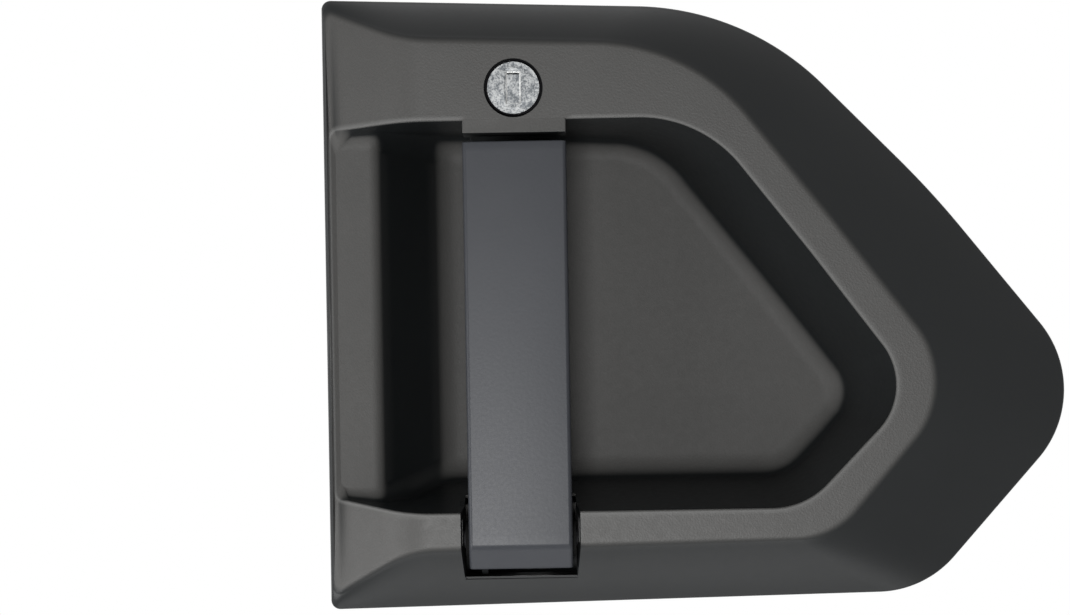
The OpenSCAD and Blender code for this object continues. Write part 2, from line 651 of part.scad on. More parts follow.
// Hinge pin with a groove for a clip outside each cheek
groove_d = 0.6;
groove_x = cheek_x + 0.2;
groove_w = 1;
module pivot_pin() {
    color([0.70, 0.71, 0.73]) difference() {
        rod_x(hinge, pin_r, -groove_x - groove_w - over, groove_x + groove_w + over);
        for (s = [0, 1]) mirror([s, 0, 0]) difference() {
            rod_x(hinge, pin_r + over, groove_x, groove_x + groove_w);
            rod_x(hinge, pin_r - groove_d, groove_x - over, groove_x + groove_w + over);
        }
    }
}

module pivot_clips() {
    color([0.35, 0.35, 0.37]) for (s = [0, 1]) mirror([s, 0, 0]) difference() {
        rod_x(hinge, pin_r + 2, groove_x + slip, groove_x + groove_w - slip);
        rod_x(hinge, pin_r - groove_d, groove_x - over, groove_x + groove_w + over);
        box([groove_x - over, hinge[0] - pin_r / 2, hinge[1]],
            [groove_x + groove_w + over, hinge[0] + pin_r / 2, hinge[1] + pin_r + 2 + over]);
    }
}

// Screw places of the grip's rear cover and of the crank
cover_at = [for (z = [knuckle_z + 14, (knuckle_z + grip_top) / 2, grip_top - 26]) [0, z]];
cover_screw_r = 1.5;
cover_head_r = 3;
screw_bite = 6;
head_h = 1.6;
post_r = 4;
crank_screw_at = [for (s = [-1, 1]) [crank_x + 7, hinge[1] + s * 7]];

module grip_front() {
    chamfer = 0.8;
    color([0.20, 0.21, 0.22]) difference() {
        union() {
            difference() {
                intersection() {
                    translate([0, 0, heel_z]) linear_extrude(grip_top - heel_z) grip_section();
                    prism_x(-grip_w, grip_w, [[rim_y, grip_top - chamfer], [rim_y, crest_foot],
                        [heel_y, heel_z], [grip_back_y, heel_z], [grip_back_y, grip_top],
                        [rim_y + chamfer, grip_top]]);
                }
                box([-grip_in, rim_y + grip_wall, knuckle_z],
                    [grip_in, grip_back_y + over, grip_top - grip_wall]);
                // slot for the return spring, open behind below the pin
                prism_x(slot_x[0], slot_x[1], [[slot_front, knuckle_z + over],
                    [slot_front, crest_foot - skin], [heel_y + skin, heel_z - over],
                    [grip_back_y + over, heel_z - over],
                    [grip_back_y + over, hinge[1] + over], [spring_back, hinge[1] + over],
                    [spring_back, knuckle_z + over]]);
                rod_x(hinge, bush_r, -grip_w, grip_w);
            }
            for (p = cover_at) rod_y(p, post_r, rim_y + grip_wall - eps, grip_back_y - cover_t);
        }
        for (p = cover_at) rod_y(p, cover_screw_r, grip_back_y - cover_t - screw_bite, grip_back_y + over);
        for (p = crank_screw_at) rod_y(p, cover_screw_r, grip_back_y - screw_bite, grip_back_y + over);
    }
}

module grip_back() {
    color([0.12, 0.12, 0.13]) difference() {
        box([-grip_in + slip, grip_back_y - cover_t, knuckle_z + slip],
            [grip_in - slip, grip_back_y, grip_top - grip_wall - slip]);
        for (p = cover_at) {
            rod_y(p, cover_screw_r + slip, grip_back_y - cover_t - over, grip_back_y + over);
            rod_y(p, cover_head_r + slip, grip_back_y - head_h, grip_back_y + over);
        }
    }
}

// Pan-head screw entering along -Y, with its head from y0 to y0 + h
module screw_y(p, r, len, head_r, y0, h) {
    rod_y(p, r, y0 - len, y0 + eps);
    rod_y(p, head_r, y0, y0 + h);
}

module grip_screws() {
    color([0.62, 0.63, 0.65]) for (p = cover_at)
        screw_y(p, cover_screw_r, cover_t - head_h + screw_bite, cover_head_r, grip_back_y - head_h,
            head_h - slip);
}

// Flanged bushes that centre the grip between the cheeks
module pivot_bushes() {
    flange = cheek_gap - 0.3;
    color([0.08, 0.08, 0.08]) for (e = [[-grip_half, slot_x[0], -grip_half - flange, -grip_half],
        [slot_x[1], grip_half, grip_half, grip_half + flange]]) difference() {
        union() {
            rod_x(hinge, bush_r, e[0], e[1]);
            rod_x(hinge, bush_r + 1.6, e[2], e[3]);
        }
        rod_x(hinge, pin_r + run_gap, e[0] - grip_w, e[1] + grip_w);
    }
}

module return_spring() {
    turns = 5;
    pitch = (slot_x[1] - slot_x[0] - 2 * wire_r - 2 * slip) / turns;
    color([0.55, 0.56, 0.58]) translate([slot_x[0] + wire_r + slip, hinge[0], hinge[1]]) rotate([0, 90, 0])
        torsion_spring(spring_r, wire_r, 90, turns, pitch, 9, 10);
}

// Crank: a flange screwed to the heel and an arm running back under the bowl
flange_y = grip_back_y + 2.5;
module release_crank() {
    color([0.12, 0.12, 0.13]) difference() {
        union() {
            box([slot_x[1] + over, grip_back_y, hinge[1] - 9], [crank_x + 11, flange_y, hinge[1] + 10.5]);
            prism_x(crank_x - crank_w / 2, crank_x + crank_w / 2,
                [[grip_back_y, hinge[1] - crank_h / 2 - 2], [grip_back_y, crank_top + 3],
                    [flange_y, crank_top + 3], [flange_y + 6, crank_top], [hinge[0] + crank_len, crank_top],
                    [hinge[0] + crank_len, crank_top - crank_h], [flange_y + 6, crank_top - crank_h]]);
        }
        for (p = crank_screw_at) rod_y(p, cover_screw_r + slip, grip_back_y - over, flange_y + over);
    }
}

module crank_screws() {
    color([0.18, 0.18, 0.19]) for (p = crank_screw_at)
        screw_y(p, cover_screw_r, flange_y - grip_back_y + screw_bite, cover_head_r, flange_y, head_h);
}

module carrier_plate() {
    outline = [for (p = [[-14, -10], [-14, 26], [6, 50], [20, 50], [40, 26], [40, 10], [12, -10]])
        [lever_at[0] + p[0], lever_at[1] + p[1], 5, 4]];
    color([0.64, 0.65, 0.67]) difference() {
        union() {
            plate_y(plate_y0, plate_y1) polygon(loop(outline));
            rod_y(carrier_peg, peg_r, plate_y1 - eps, peg_top);
        }
        for (p = carrier_at) rod_y(p, screw_r + slip, plate_y0 - over, plate_y1 + over);
        rod_y(lever_at, lever_pin_r, plate_y0 - over, plate_y1 + over);
        rod_y(plate_window, plate_window_r, plate_y0 - over, plate_y1 + over);
    }
}

module carrier_screws() {
    color([0.30, 0.30, 0.32]) for (p = carrier_at)
        screw_y(p, screw_r, plate_t + screw_bite, screw_r * 2, plate_y1, carrier_head_h);
}

// Lever pin riveted in the carrier plate, with a groove for its clip
pin_clip_y = peg_top + 0.4;
module lever_pin() {
    color([0.70, 0.71, 0.73]) difference() {
        union() {
            rod_y(lever_at, lever_pin_r, plate_y0 - eps, pin_clip_y + groove_w + over);
            rod_y(lever_at, lever_pin_r + 2, plate_y0 - 1.5, plate_y0);
        }
        difference() {
            rod_y(lever_at, lever_pin_r + over, pin_clip_y, pin_clip_y + groove_w);
            rod_y(lever_at, lever_pin_r - groove_d, pin_clip_y - over, pin_clip_y + groove_w + over);
        }
    }
}

module lever_clip() {
    color([0.35, 0.35, 0.37])
        clip_ring_y(lever_at, lever_pin_r - groove_d, lever_pin_r + 3.2, pin_clip_y + slip,
            pin_clip_y + groove_w - slip, lever_pin_r);
}

module lever_bush() {
    color([0.85, 0.84, 0.80]) difference() {
        union() {
            rod_y(lever_at, lever_bush_r, lever_y0 - eps, lever_y1);
            rod_y(lever_at, lever_bush_r + 2.5, lever_y0 - flange_t, lever_y0);
        }
        rod_y(lever_at, lever_pin_r + run_gap, plate_y0, lever_y1 + over);
    }
}

module release_lever() {
    color([0.64, 0.65, 0.67]) difference() {
        union() {
            rod_y(lever_at, hub_r, lever_y0, lever_y1);
            link_y(lever_at, lever_arm_r, pad_root, pad_r, lever_y0, lever_y1);
            link_y(pad_root, pad_r, pad_at, pad_r, lever_y0, lever_y1);
            link_y(lever_at, lever_arm_r, rod_at, eye_r, lever_y0, lever_y1);
            rod_y(lever_peg, peg_r, lever_y1 - eps, peg_top);
        }
        rod_y(lever_at, lever_bush_r, lever_y0 - over, lever_y1 + over);
        rod_y(rod_at, eye_hole_r, lever_y0 - over, lever_y1 + over);
    }
}

// Snap-in sleeve for the latch rod
module rod_clip() {
    color([0.88, 0.87, 0.82]) difference() {
        union() {
            rod_y(rod_at, eye_hole_r, lever_y0 - over, lever_y1 + 3);
            rod_y(rod_at, eye_r, lever_y1, lever_y1 + 1.2);
        }
        rod_y(rod_at, rod_r, lever_y0 - 2 * over, lever_y1 + 3 + over);
    }
}

module lever_spring() {
    color([0.55, 0.56, 0.58]) translate([lever_at[0], spring_y, lever_at[1]]) rotate([-90, 0, 0])
        torsion_spring(lever_spring_r, lever_wire_r, 0, 2.25, 1.15, 15, 15);
}

module lock_barrel() {
    color([0.10, 0.10, 0.11]) difference() {
        rod_y(lock_at, barrel_r, barrel_y, barrel_end);
        rod_y(lock_at, plug_r + run_gap, barrel_y - over, barrel_end + over);
        difference() {
            rod_y(lock_at, barrel_r + over, clip_y, clip_y + clip_t);
            rod_y(lock_at, barrel_r - clip_in, clip_y - over, clip_y + clip_t + over);
        }
    }
}

module lock_seal() {
    color([0.06, 0.06, 0.06]) difference() {
        rod_y(lock_at, boss_r, boss_end, boss_end + seal_t);
        rod_y(lock_at, barrel_r, boss_end - over, boss_end + seal_t + over);
    }
}

module lock_clip() {
    color([0.50, 0.50, 0.52])
        clip_ring_y(lock_at, barrel_r - clip_in, boss_r, clip_y + slip / 2, clip_y + clip_t - slip / 2,
            barrel_r * 1.5);
}

// Plug: chromed face with the shutter's window, keyway, wafer slots and a two-flat tail
chamber_d = shutter_h + 2;
chamber_y = face_y + chamber_d;
wafer_t = 0.9;
wafer_w = 5.2;
wafer_step = 3;
wafer_y = [for (i = [0 : 4]) chamber_y + 2 + i * wafer_step];
key_end = wafer_y[4] + 3;
tail_r = 4.5;
tail_flat = 3.2;
cam_t = 2.6;
cam_y = barrel_end + 0.4;
cam_clip_y = cam_y + cam_t + 0.1;
cam_groove_r = 3;
shutter_t = 0.9;
hinge_r = 0.8;
shutter_pin_r = 0.4;
shutter_axis = [face_y + 0.35 + hinge_r, lock_at[1] + shutter_h / 2 - hinge_r];
module lock_plug() {
    z = lock_at[1];
    color([0.80, 0.81, 0.82]) difference() {
        union() {
            rod_y(lock_at, face_r, face_y, face_y + face_t);
            rod_y(lock_at, plug_r, face_y + face_t - eps, barrel_end + 0.2);
            intersection() {
                rod_y(lock_at, tail_r, barrel_end, cam_clip_y);
                box([-tail_flat, barrel_end - over, z - 2 * tail_r],
                    [tail_flat, cam_clip_y + over, z + 2 * tail_r]);
            }
            rod_y(lock_at, cam_groove_r, cam_clip_y - eps, cam_clip_y + groove_w);
            rod_y(lock_at, tail_flat + 0.4, cam_clip_y + groove_w - eps, cam_clip_y + groove_w + over);
        }
        box([-shutter_w / 2 - slip, face_y - over, z - shutter_h / 2 - slip],
            [shutter_w / 2 + slip, chamber_y, z + shutter_h / 2 + slip]);
        box([-key_w / 2, chamber_y - over, z - key_h / 2], [key_w / 2, key_end, z + key_h / 2]);
        for (y = wafer_y)
            box([-wafer_w / 2 - slip / 2, y - slip / 2, z - plug_r - over],
                [wafer_w / 2 + slip / 2, y + wafer_t + slip / 2, z + plug_r + over]);
        rod_x(shutter_axis, shutter_pin_r, -shutter_w / 2 - over, shutter_w / 2 + over);
    }
}

module wafer_tumblers() {
    z = lock_at[1];
    half = sqrt(plug_r * plug_r - wafer_w * wafer_w / 4) - slip;
    color([0.78, 0.66, 0.36]) for (y = wafer_y) difference() {
        box([-wafer_w / 2, y, z - half], [wafer_w / 2, y + wafer_t, z + half]);
        box([-key_w / 2, y - over, z - key_h / 2], [key_w / 2, y + wafer_t + over, z + key_h / 2]);
    }
}

// Flap that hangs from the shutter pin and closes the key window
module dust_shutter() {
    color([0.70, 0.71, 0.72]) difference() {
        union() {
            rod_x(shutter_axis, hinge_r, -shutter_w / 2, shutter_w / 2);
            box([-shutter_w / 2, shutter_axis[0] - hinge_r, lock_at[1] - shutter_h / 2],
                [shutter_w / 2, shutter_axis[0] - hinge_r + shutter_t, shutter_axis[1]]);
        }
        rod_x(shutter_axis, shutter_pin_r + run_gap, -shutter_w, shutter_w);
    }
}

module shutter_pin() {
    color([0.70, 0.71, 0.73])
        rod_x(shutter_axis, shutter_pin_r, -shutter_w / 2 - over, shutter_w / 2 + over);
}

module lock_cam() {
    eye = lock_at + [0, cam_len];
    color([0.64, 0.65, 0.67]) difference() {
        union() {
            link_y(lock_at, tail_r + 3.5, eye, lock_rod_r + 3, cam_y, cam_y + cam_t);
        }
        intersection() {
            rod_y(lock_at, tail_r, cam_y - over, cam_y + cam_t + over);
            box([-tail_flat, cam_y - 2 * over, lock_at[1] - 2 * tail_r],
                [tail_flat, cam_y + cam_t + 2 * over, lock_at[1] + 2 * tail_r]);
        }
        rod_y(eye, lock_rod_r, cam_y - over, cam_y + cam_t + over);
    }
}

module cam_clip() {
    color([0.35, 0.35, 0.37])
        clip_ring_y(lock_at, cam_groove_r, tail_r + 1.5, cam_clip_y + slip / 2,
            cam_clip_y + groove_w - slip / 2, cam_groove_r);
}

housing();
perimeter_gasket();
mounting_studs();
bump_stops();
pivot_pin();
pivot_clips();
grip_front();
grip_back();
grip_screws();
pivot_bushes();
return_spring();
release_crank();
crank_screws();
carrier_plate();
carrier_screws();
lever_pin();
lever_clip();
lever_bush();
release_lever();
rod_clip();
lever_spring();
lock_barrel();
lock_seal();
lock_clip();
lock_plug();
wafer_tumblers();
dust_shutter();
shutter_pin();
lock_cam();
cam_clip();
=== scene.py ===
import json
import math

import bpy
import bmesh
import numpy as np
from mathutils import Matrix, Vector


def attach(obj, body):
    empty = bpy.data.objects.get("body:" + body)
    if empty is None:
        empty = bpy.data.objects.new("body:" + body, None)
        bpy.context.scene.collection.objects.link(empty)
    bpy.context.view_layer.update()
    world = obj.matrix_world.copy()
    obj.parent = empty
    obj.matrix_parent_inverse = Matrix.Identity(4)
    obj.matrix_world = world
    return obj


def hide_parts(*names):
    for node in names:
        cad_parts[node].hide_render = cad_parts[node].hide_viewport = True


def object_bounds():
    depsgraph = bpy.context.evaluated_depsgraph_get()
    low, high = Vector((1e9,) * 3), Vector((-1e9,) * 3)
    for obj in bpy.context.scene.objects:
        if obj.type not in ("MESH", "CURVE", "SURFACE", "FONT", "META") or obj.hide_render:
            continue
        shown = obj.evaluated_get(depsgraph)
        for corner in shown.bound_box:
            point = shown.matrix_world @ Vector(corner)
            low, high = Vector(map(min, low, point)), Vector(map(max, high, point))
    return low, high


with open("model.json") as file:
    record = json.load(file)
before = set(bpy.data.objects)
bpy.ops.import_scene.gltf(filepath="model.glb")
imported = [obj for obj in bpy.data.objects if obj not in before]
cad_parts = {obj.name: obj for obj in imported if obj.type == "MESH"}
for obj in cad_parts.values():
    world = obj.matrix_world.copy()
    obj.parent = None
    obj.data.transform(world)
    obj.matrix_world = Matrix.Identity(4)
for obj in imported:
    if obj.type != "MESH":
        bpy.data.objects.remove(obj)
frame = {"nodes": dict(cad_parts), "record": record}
cadLow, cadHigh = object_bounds()
scene = bpy.context.scene
mm = 0.001


# camera: level with the handle, one metre in front of the door skin, turned a little on its axis
photoView = {"width": 1070, "pixelsPerMetre": 3000.0, "distance": 1.0, "sensor": 36.0,
             "place": (0.0059, -1.0, -0.0020), "roll": 0.97}


def makeCamera(view):
    data = bpy.data.cameras.new("photoCamera")
    camera = bpy.data.objects.new("photoCamera", data)
    scene.collection.objects.link(camera)
    data.sensor_width = view["sensor"]
    data.lens = view["pixelsPerMetre"] * view["distance"] * view["sensor"] / view["width"]
    data.clip_start = 0.05
    data.clip_end = 30.0
    roll = math.radians(view["roll"])
    up = Vector((math.sin(roll), 0.0, math.cos(roll)))
    back = Vector((0.0, -1.0, 0.0))
    turn = Matrix((up.cross(back), up, back)).transposed()
    camera.matrix_world = Matrix.Translation(view["place"]) @ turn.to_4x4()
    scene.camera = camera
    print("camera: lens %.1f mm" % data.lens)


makeCamera(photoView)


# shader sockets as values
class Shade:
    def __init__(self, tree, socket):
        self.tree = tree
        self.socket = socket

    def node(self, kind, settings=None, inputs=None, out=0):
        made = self.tree.nodes.new(kind)
        for key, value in (settings or {}).items():
            setattr(made, key, value)
        for key, value in (inputs or {}).items():
            if isinstance(value, Shade):
                self.tree.links.new(value.socket, made.inputs[key])
            else:
                made.inputs[key].default_value = value
        return Shade(self.tree, made.outputs[out])

    def math(self, operation, a, b):
        return self.node("ShaderNodeMath", {"operation": operation}, {0: a, 1: b})

    def __add__(self, other):
        return self.math("ADD", self, other)

    def __radd__(self, other):
        return self.math("ADD", other, self)

    def __sub__(self, other):
        return self.math("SUBTRACT", self, other)

    def __rsub__(self, other):
        return self.math("SUBTRACT", other, self)

    def __mul__(self, other):
        return self.math("MULTIPLY", self, other)

    def __rmul__(self, other):
        return self.math("MULTIPLY", other, self)

    def __truediv__(self, other):
        return self.math("DIVIDE", self, other)

    def top(self, other):
        return self.math("MAXIMUM", self, other)

    def low(self, other):
        return self.math("MINIMUM", self, other)

    def step(self, start, end):
        return self.node("ShaderNodeMapRange", {"interpolation_type": "SMOOTHSTEP"},
                         {"Value": self, "From Min": start, "From Max": end})


def startMaterial(name):
    made = bpy.data.materials.new(name)
    made.use_nodes = True
    tree = made.node_tree
    tree.nodes.clear()
    output = tree.nodes.new("ShaderNodeOutputMaterial")
    return made, Shade(tree, output.inputs["Surface"])


def noise(shade, place, scale, detail=3.0, rough=0.55):
    return shade.node("ShaderNodeTexNoise", {}, {"Vector": place, "Scale": scale, "Detail": detail,
                                                 "Roughness": rough})


def mixColour(shade, mask, first, second):
    made = shade.tree.nodes.new("ShaderNodeMix")
    made.data_type = "RGBA"
    shade.tree.links.new(mask.socket, made.inputs["Factor"])
    for socket, value in ((made.inputs[6], first), (made.inputs[7], second)):
        if isinstance(value, Shade):
            shade.tree.links.new(value.socket, socket)
        else:
            socket.default_value = (*value, 1.0)
    return Shade(shade.tree, made.outputs[2])


def surface(shade, values, bump=None, height=0.1, reach=0.0002):
    inputs = dict(values)
    if bump is not None:
        inputs["Normal"] = shade.node("ShaderNodeBump", {}, {"Strength": height, "Distance": reach,
                                                             "Height": bump})
    made = shade.node("ShaderNodeBsdfPrincipled", {}, inputs)
    shade.tree.links.new(made.socket, shade.socket)


def objectPlace(shade):
    return shade.node("ShaderNodeTexCoord", {}, {}, "Object")


def painted(shade, name):
    return shade.node("ShaderNodeAttribute", {"attribute_name": name}, {}, "Fac")


def stretched(shade, place, scale):
    return shade.node("ShaderNodeMapping", {}, {"Vector": place, "Scale": scale})


# black moulding: fine leather-like grain on the rim, a duller one in the bowl, smooth border and walls,
# a painted highlight along the lips, matt places behind the bar; on the walls and behind the bar the dark
# smooth colour is also painted shade
def blackMoulding():
    made, s = startMaterial("blackMoulding")
    place = objectPlace(s)
    grain, bowl, lip, matt = [painted(s, name) for name in ("grain", "bowl", "lip", "matt")]
    cells = s.node("ShaderNodeTexVoronoi", {"feature": "F1"}, {"Vector": place, "Scale": 1500.0}, "Distance")
    fine = noise(s, place, 2600.0, 2.0)
    cloud = noise(s, place, 38.0, 3.0)
    soft = noise(s, place, 420.0, 2.0)
    pebbles = cells * 0.7 + fine * 0.5
    tone = (0.86 + cloud * 0.22 + (pebbles - 0.5) * 0.18 * grain).low(1.2).top(0.6)
    level = (tone - 0.6) / 0.6
    # colour of the smooth border, also laid as painted shade on steep walls and behind the bar
    smoothAndShade = mixColour(s, level, (0.003, 0.0037, 0.004), (0.009, 0.0102, 0.0108))
    grained = mixColour(s, level, (0.025, 0.025, 0.024), (0.052, 0.051, 0.049))
    dull = mixColour(s, level, (0.028, 0.028, 0.027), (0.052, 0.051, 0.049))
    colour = mixColour(s, bowl, mixColour(s, grain, smoothAndShade, grained), dull)
    # painted highlight: the lip attribute lays a light line along the bowl's lip
    colour = mixColour(s, lip * 0.5, colour, (0.13, 0.13, 0.128))
    rough = 0.38 + grain * 0.08 + bowl * 0.16 + matt * 0.5 + (soft - 0.5) * 0.10
    bump = pebbles * (0.15 + grain * 0.85) + soft * 0.15
    surface(s, {"Base Color": colour, "Roughness": rough, "IOR": 1.5, "Specular IOR Level": 0.24},
            bump, 0.35, 0.00012)
    return made


# satin paint on the bar: very fine orange peel
def satinGrey():
    made, s = startMaterial("satinGrey")
    place = objectPlace(s)
    peel = noise(s, place, 900.0, 2.0)
    cloud = noise(s, place, 30.0, 3.0)
    colour = mixColour(s, cloud, (0.026, 0.028, 0.033), (0.036, 0.038, 0.043))
    rough = 0.36 + (peel - 0.5) * 0.08 + (cloud - 0.5) * 0.05
    surface(s, {"Base Color": colour, "Roughness": rough, "IOR": 1.5, "Specular IOR Level": 0.15},
            peel, 0.12, 0.0001)
    return made


def plainMetal(name, low, high, rough, grainScale):
    made, s = startMaterial(name)
    place = objectPlace(s)
    streak = noise(s, stretched(s, place, grainScale), 1.0, 3.0)
    spots = noise(s, place, 160.0, 4.0)
    colour = mixColour(s, (streak * 0.6 + spots * 0.4), low, high)
    level = rough + (streak - 0.5) * 0.12 + (spots - 0.5) * 0.14
    surface(s, {"Base Color": colour, "Roughness": level, "Metallic": 1.0}, streak, 0.08, 0.0001)
    return made


def plainPlastic(name, low, high, rough, scale, height, gloss=0.5):
    made, s = startMaterial(name)
    place = objectPlace(s)
    fine = noise(s, place, scale, 3.0)
    cloud = noise(s, place, 60.0, 3.0)
    colour = mixColour(s, fine * 0.5 + cloud * 0.5, low, high)
    level = rough + (cloud - 0.5) * 0.12
    surface(s, {"Base Color": colour, "Roughness": level, "IOR": 1.5, "Specular IOR Level": gloss},
            fine, height, 0.0001)
    return made


# lock face: bright, scuffed and pitted, with a painted highlight along the edges of its window
def scuffedChrome():
    made, s = startMaterial("scuffedChrome")
    place = objectPlace(s)
    blotch = noise(s, place, 520.0, 3.0, 0.6)
    pits = noise(s, place, 1700.0, 3.0, 0.7)
    wear = (blotch * 0.45 + pits * 0.55).step(0.40, 0.62)
    colour = mixColour(s, wear, (0.065, 0.07, 0.075), (0.25, 0.255, 0.255))
    # painted highlight: a light band round the edges of the window
    colour = mixColour(s, painted(s, "windowHighlight") * 0.7, colour, (0.55, 0.55, 0.54))
    rough = 0.38 + wear * 0.16 + (pits - 0.5) * 0.2
    bump = pits * 0.6 + wear * 0.4
    surface(s, {"Base Color": colour, "Roughness": rough, "Metallic": 1.0}, bump, 0.3, 0.0001)
    return made


# painted shade: rubber, black coat, black nylon, dark steel and spring steel are darker than the bare stuff,
# so the notch's gaps and the ring round the lock stay dark
finishes = {
    "black_moulding": blackMoulding(),
    "satin_grey": satinGrey(),
    "rubber": plainPlastic("sealRubber", (0.006, 0.006, 0.006), (0.014, 0.014, 0.014),
                                0.80, 700.0, 0.25, 0.03),
    "black_metal": plainPlastic("blackCoat", (0.005, 0.005, 0.006), (0.011, 0.011, 0.012),
                                0.70, 900.0, 0.1, 0.02),
    "lock_chrome": scuffedChrome(),
    "brass": plainMetal("stampedBrass", (0.55, 0.40, 0.16), (0.78, 0.60, 0.28), 0.35, (200.0, 900.0, 200.0)),
    "black_nylon": plainPlastic("blackNylon", (0.006, 0.006, 0.006), (0.012, 0.012, 0.012),
                                0.80, 500.0, 0.1, 0.03),
    "nylon": plainPlastic("naturalNylon", (0.66, 0.63, 0.56), (0.78, 0.75, 0.68), 0.45, 500.0, 0.1),
    "zinc_steel": plainMetal("zincPlate", (0.50, 0.51, 0.53), (0.70, 0.71, 0.72),
                                0.36, (140.0, 140.0, 700.0)),
    "dark_steel": plainPlastic("darkSteel", (0.012, 0.012, 0.013), (0.028, 0.028, 0.030),
                                0.70, 700.0, 0.1, 0.06),
    "spring_steel": plainMetal("drawnWire", (0.05, 0.05, 0.055), (0.09, 0.09, 0.10),
                                0.60, (700.0, 700.0, 200.0)),
}
slotOf = {part["node"]: part["material_slot"] for part in frame["record"]["subparts"]}
# the pin between the cheeks takes the dark finish of its clips, not its zinc plating: painted shade in the
# gaps beside the bar
slotOf["pivot_pin"] = "dark_steel"
for name, node in frame["nodes"].items():
    node.data.materials.clear()
    node.data.materials.append(finishes[slotOf[name]])
print("finishes:", len(finishes))


# meshes from grids of points: rows x columns, closed across the columns
def gridFaces(rows, cols):
    i, j = np.meshgrid(np.arange(rows - 1), np.arange(cols), indexing="ij")
    k = (j + 1) % cols
    quads = np.stack([i * cols + j, i * cols + k, (i + 1) * cols + k, (i + 1) * cols + j], axis=-1)
    return quads.reshape(-1, 4)


def addMesh(name, points, faces, caps=()):
    mesh = bpy.data.meshes.new(name)
    mesh.from_pydata((np.asarray(points).reshape(-1, 3) * mm).tolist(), [],
                     [list(f) for f in faces] + [list(c) for c in caps])
    mesh.validate()
    mesh.update()
    made = bpy.data.objects.new(name, mesh)
    scene.collection.objects.link(made)
    return made


def closedLoft(name, rings):
    rows, cols = rings.shape[:2]
    ends = (np.arange(cols)[::-1], (rows - 1) * cols + np.arange(cols))
    return turnOut(addMesh(name, rings, gridFaces(rows, cols), ends))


def turnOut(piece):
    work = bmesh.new()
    work.from_mesh(piece.data)
    bmesh.ops.remove_doubles(work, verts=work.verts, dist=1e-7)
    bmesh.ops.recalc_face_normals(work, faces=work.faces)
    work.to_mesh(piece.data)
    work.free()
    return piece


def smoothBy(piece, angle):
    mesh = piece.data
    mesh.polygons.foreach_set("use_smooth", np.ones(len(mesh.polygons), dtype=bool))
    mesh.set_sharp_from_angle(angle=math.radians(angle))
    mesh.update()


def dress(piece, body, slot, *nodes):
    piece.data.materials.clear()
    piece.data.materials.append(finishes[slot])
    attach(piece, body)
    if nodes:
        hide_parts(*nodes)
    print("piece:", piece.name, len(piece.data.polygons), "faces")


# housing outline, rim, border and bowl, in millimetres
housingShape = {
    "edgeX": 63.4, "edgeH": 202.4, "noseLen": 255.5, "noseDrop": 32.9, "topFall": 1.97, "footRise": 0.87,
    "noseUp": 48.45, "noseLow": 48.3, "belly": 4.4, "rimH": 21.0, "landH": 2.0, "gasket": 1.5,
    "border": (13.7, 35.2, 38.6, 19.9), "rampRun": 34.8, "rampBlend": 16.0, "lowH": 5.0, "crestSoft": 1.8,
    "rim": (27.365, 11.8, 8.7, 11.773), "wall": 3.0, "soleW": 6.0, "bowlD": 49.0,
    "bowlRun": (12.1, 21.5, 16.7, 17.1), "shelfRun": 41.4, "lipR": 1.0, "rollR": 5.0, "floorR": 9.0,
    "shelfH": 4.4, "shelfW": 12.6, "shelfIn": 9.0, "lipIn": (-3.3, -6.9), "lipLeft": 2.0,
    "crestAngles": (52.2, 49.4), "bowlAngles": (52.5, 46.0), "bellyR": 300.0, "flatBelly": 0.6,
    "outerR": (3.0, 90.0, 35.0, 34.0), "crestR": (2.0, 65.0, 29.5, 27.0), "mouthR": (3.0, 43.0, 22.0, 26.0),
    "footR": (2.0, 25.0, 6.0, 10.0), "innerR": (3.0, 17.0, 3.0, 4.0), "edgeSoft": 1.2, "lipStep": 0.25,
    "borderCrown": 0.9,
}


def heading(degrees):
    return np.array([math.cos(math.radians(degrees)), math.sin(math.radians(degrees))])


def meet(p, a, q, b):
    u, v, d = heading(a), heading(b), q - p
    return p + u * (d[0] * v[1] - d[1] * v[0]) / (u[0] * v[1] - u[1] * v[0])


def unit(v):
    return v / np.linalg.norm(v)


# rounded corner: points on a circle of radius r that touches both edges
def cornerArc(a, p, b, r, chords):
    u, v = unit(a - p), unit(b - p)
    half = math.acos(float(u @ v)) / 2
    centre = p + unit(u + v) * r / math.sin(half)
    start = p + u * r / math.tan(half) - centre
    end = p + v * r / math.tan(half) - centre
    fromA = math.atan2(start[1], start[0])
    turn = (math.atan2(end[1], end[0]) - fromA + 3 * math.pi) % (2 * math.pi) - math.pi
    t = fromA + turn * np.linspace(0, 1, chords + 1)
    return centre + r * np.stack([np.cos(t), np.sin(t)], axis=-1)


class NoseOutline:
    def __init__(self, left, top, topA, tip, up, low, foot, footA):
        self.left, self.top, self.topA, self.tip = left, top, topA, np.asarray(tip, dtype=float)
        self.up, self.low, self.foot, self.footA = up, low, foot, footA

    def topAt(self, x):
        return self.top + math.tan(math.radians(self.topA)) * (x - self.left)

    def footAt(self, x):
        return self.foot + math.tan(math.radians(self.footA)) * (x - self.left)

    def upOut(self):
        return heading(90 - self.up)

    def lowOut(self):
        return heading(self.low - 90)

    def inside(self, left, run, topA, up, low, footA):
        tip = meet(self.tip - run[1] * self.upOut(), -up, self.tip - run[2] * self.lowOut(), low)
        top, foot = self.topAt(left) - run[0], self.footAt(left) + run[3]
        return NoseOutline(left, top, topA, tip, up, low, foot, footA)

    def topCorner(self):
        return meet(np.array([self.left, self.top]), self.topA, self.tip, -self.up)

    def footCorner(self):
        return meet(np.array([self.left, self.foot]), self.footA, self.tip, self.low)


# height share of the ramp: a straight slope that ends in a parabola
def rampRise(d, h):
    low = h["lowH"] / h["rimH"]
    slope = (1 - low) / (h["rampRun"] - h["rampBlend"] / 2)
    soft = 1 - slope / (2 * h["rampBlend"]) * (h["rampRun"] - d) ** 2
    straight = low + slope * np.maximum(d, 0)
    return np.where(d >= h["rampRun"], 1.0, np.where(d > h["rampRun"] - h["rampBlend"], soft, straight))


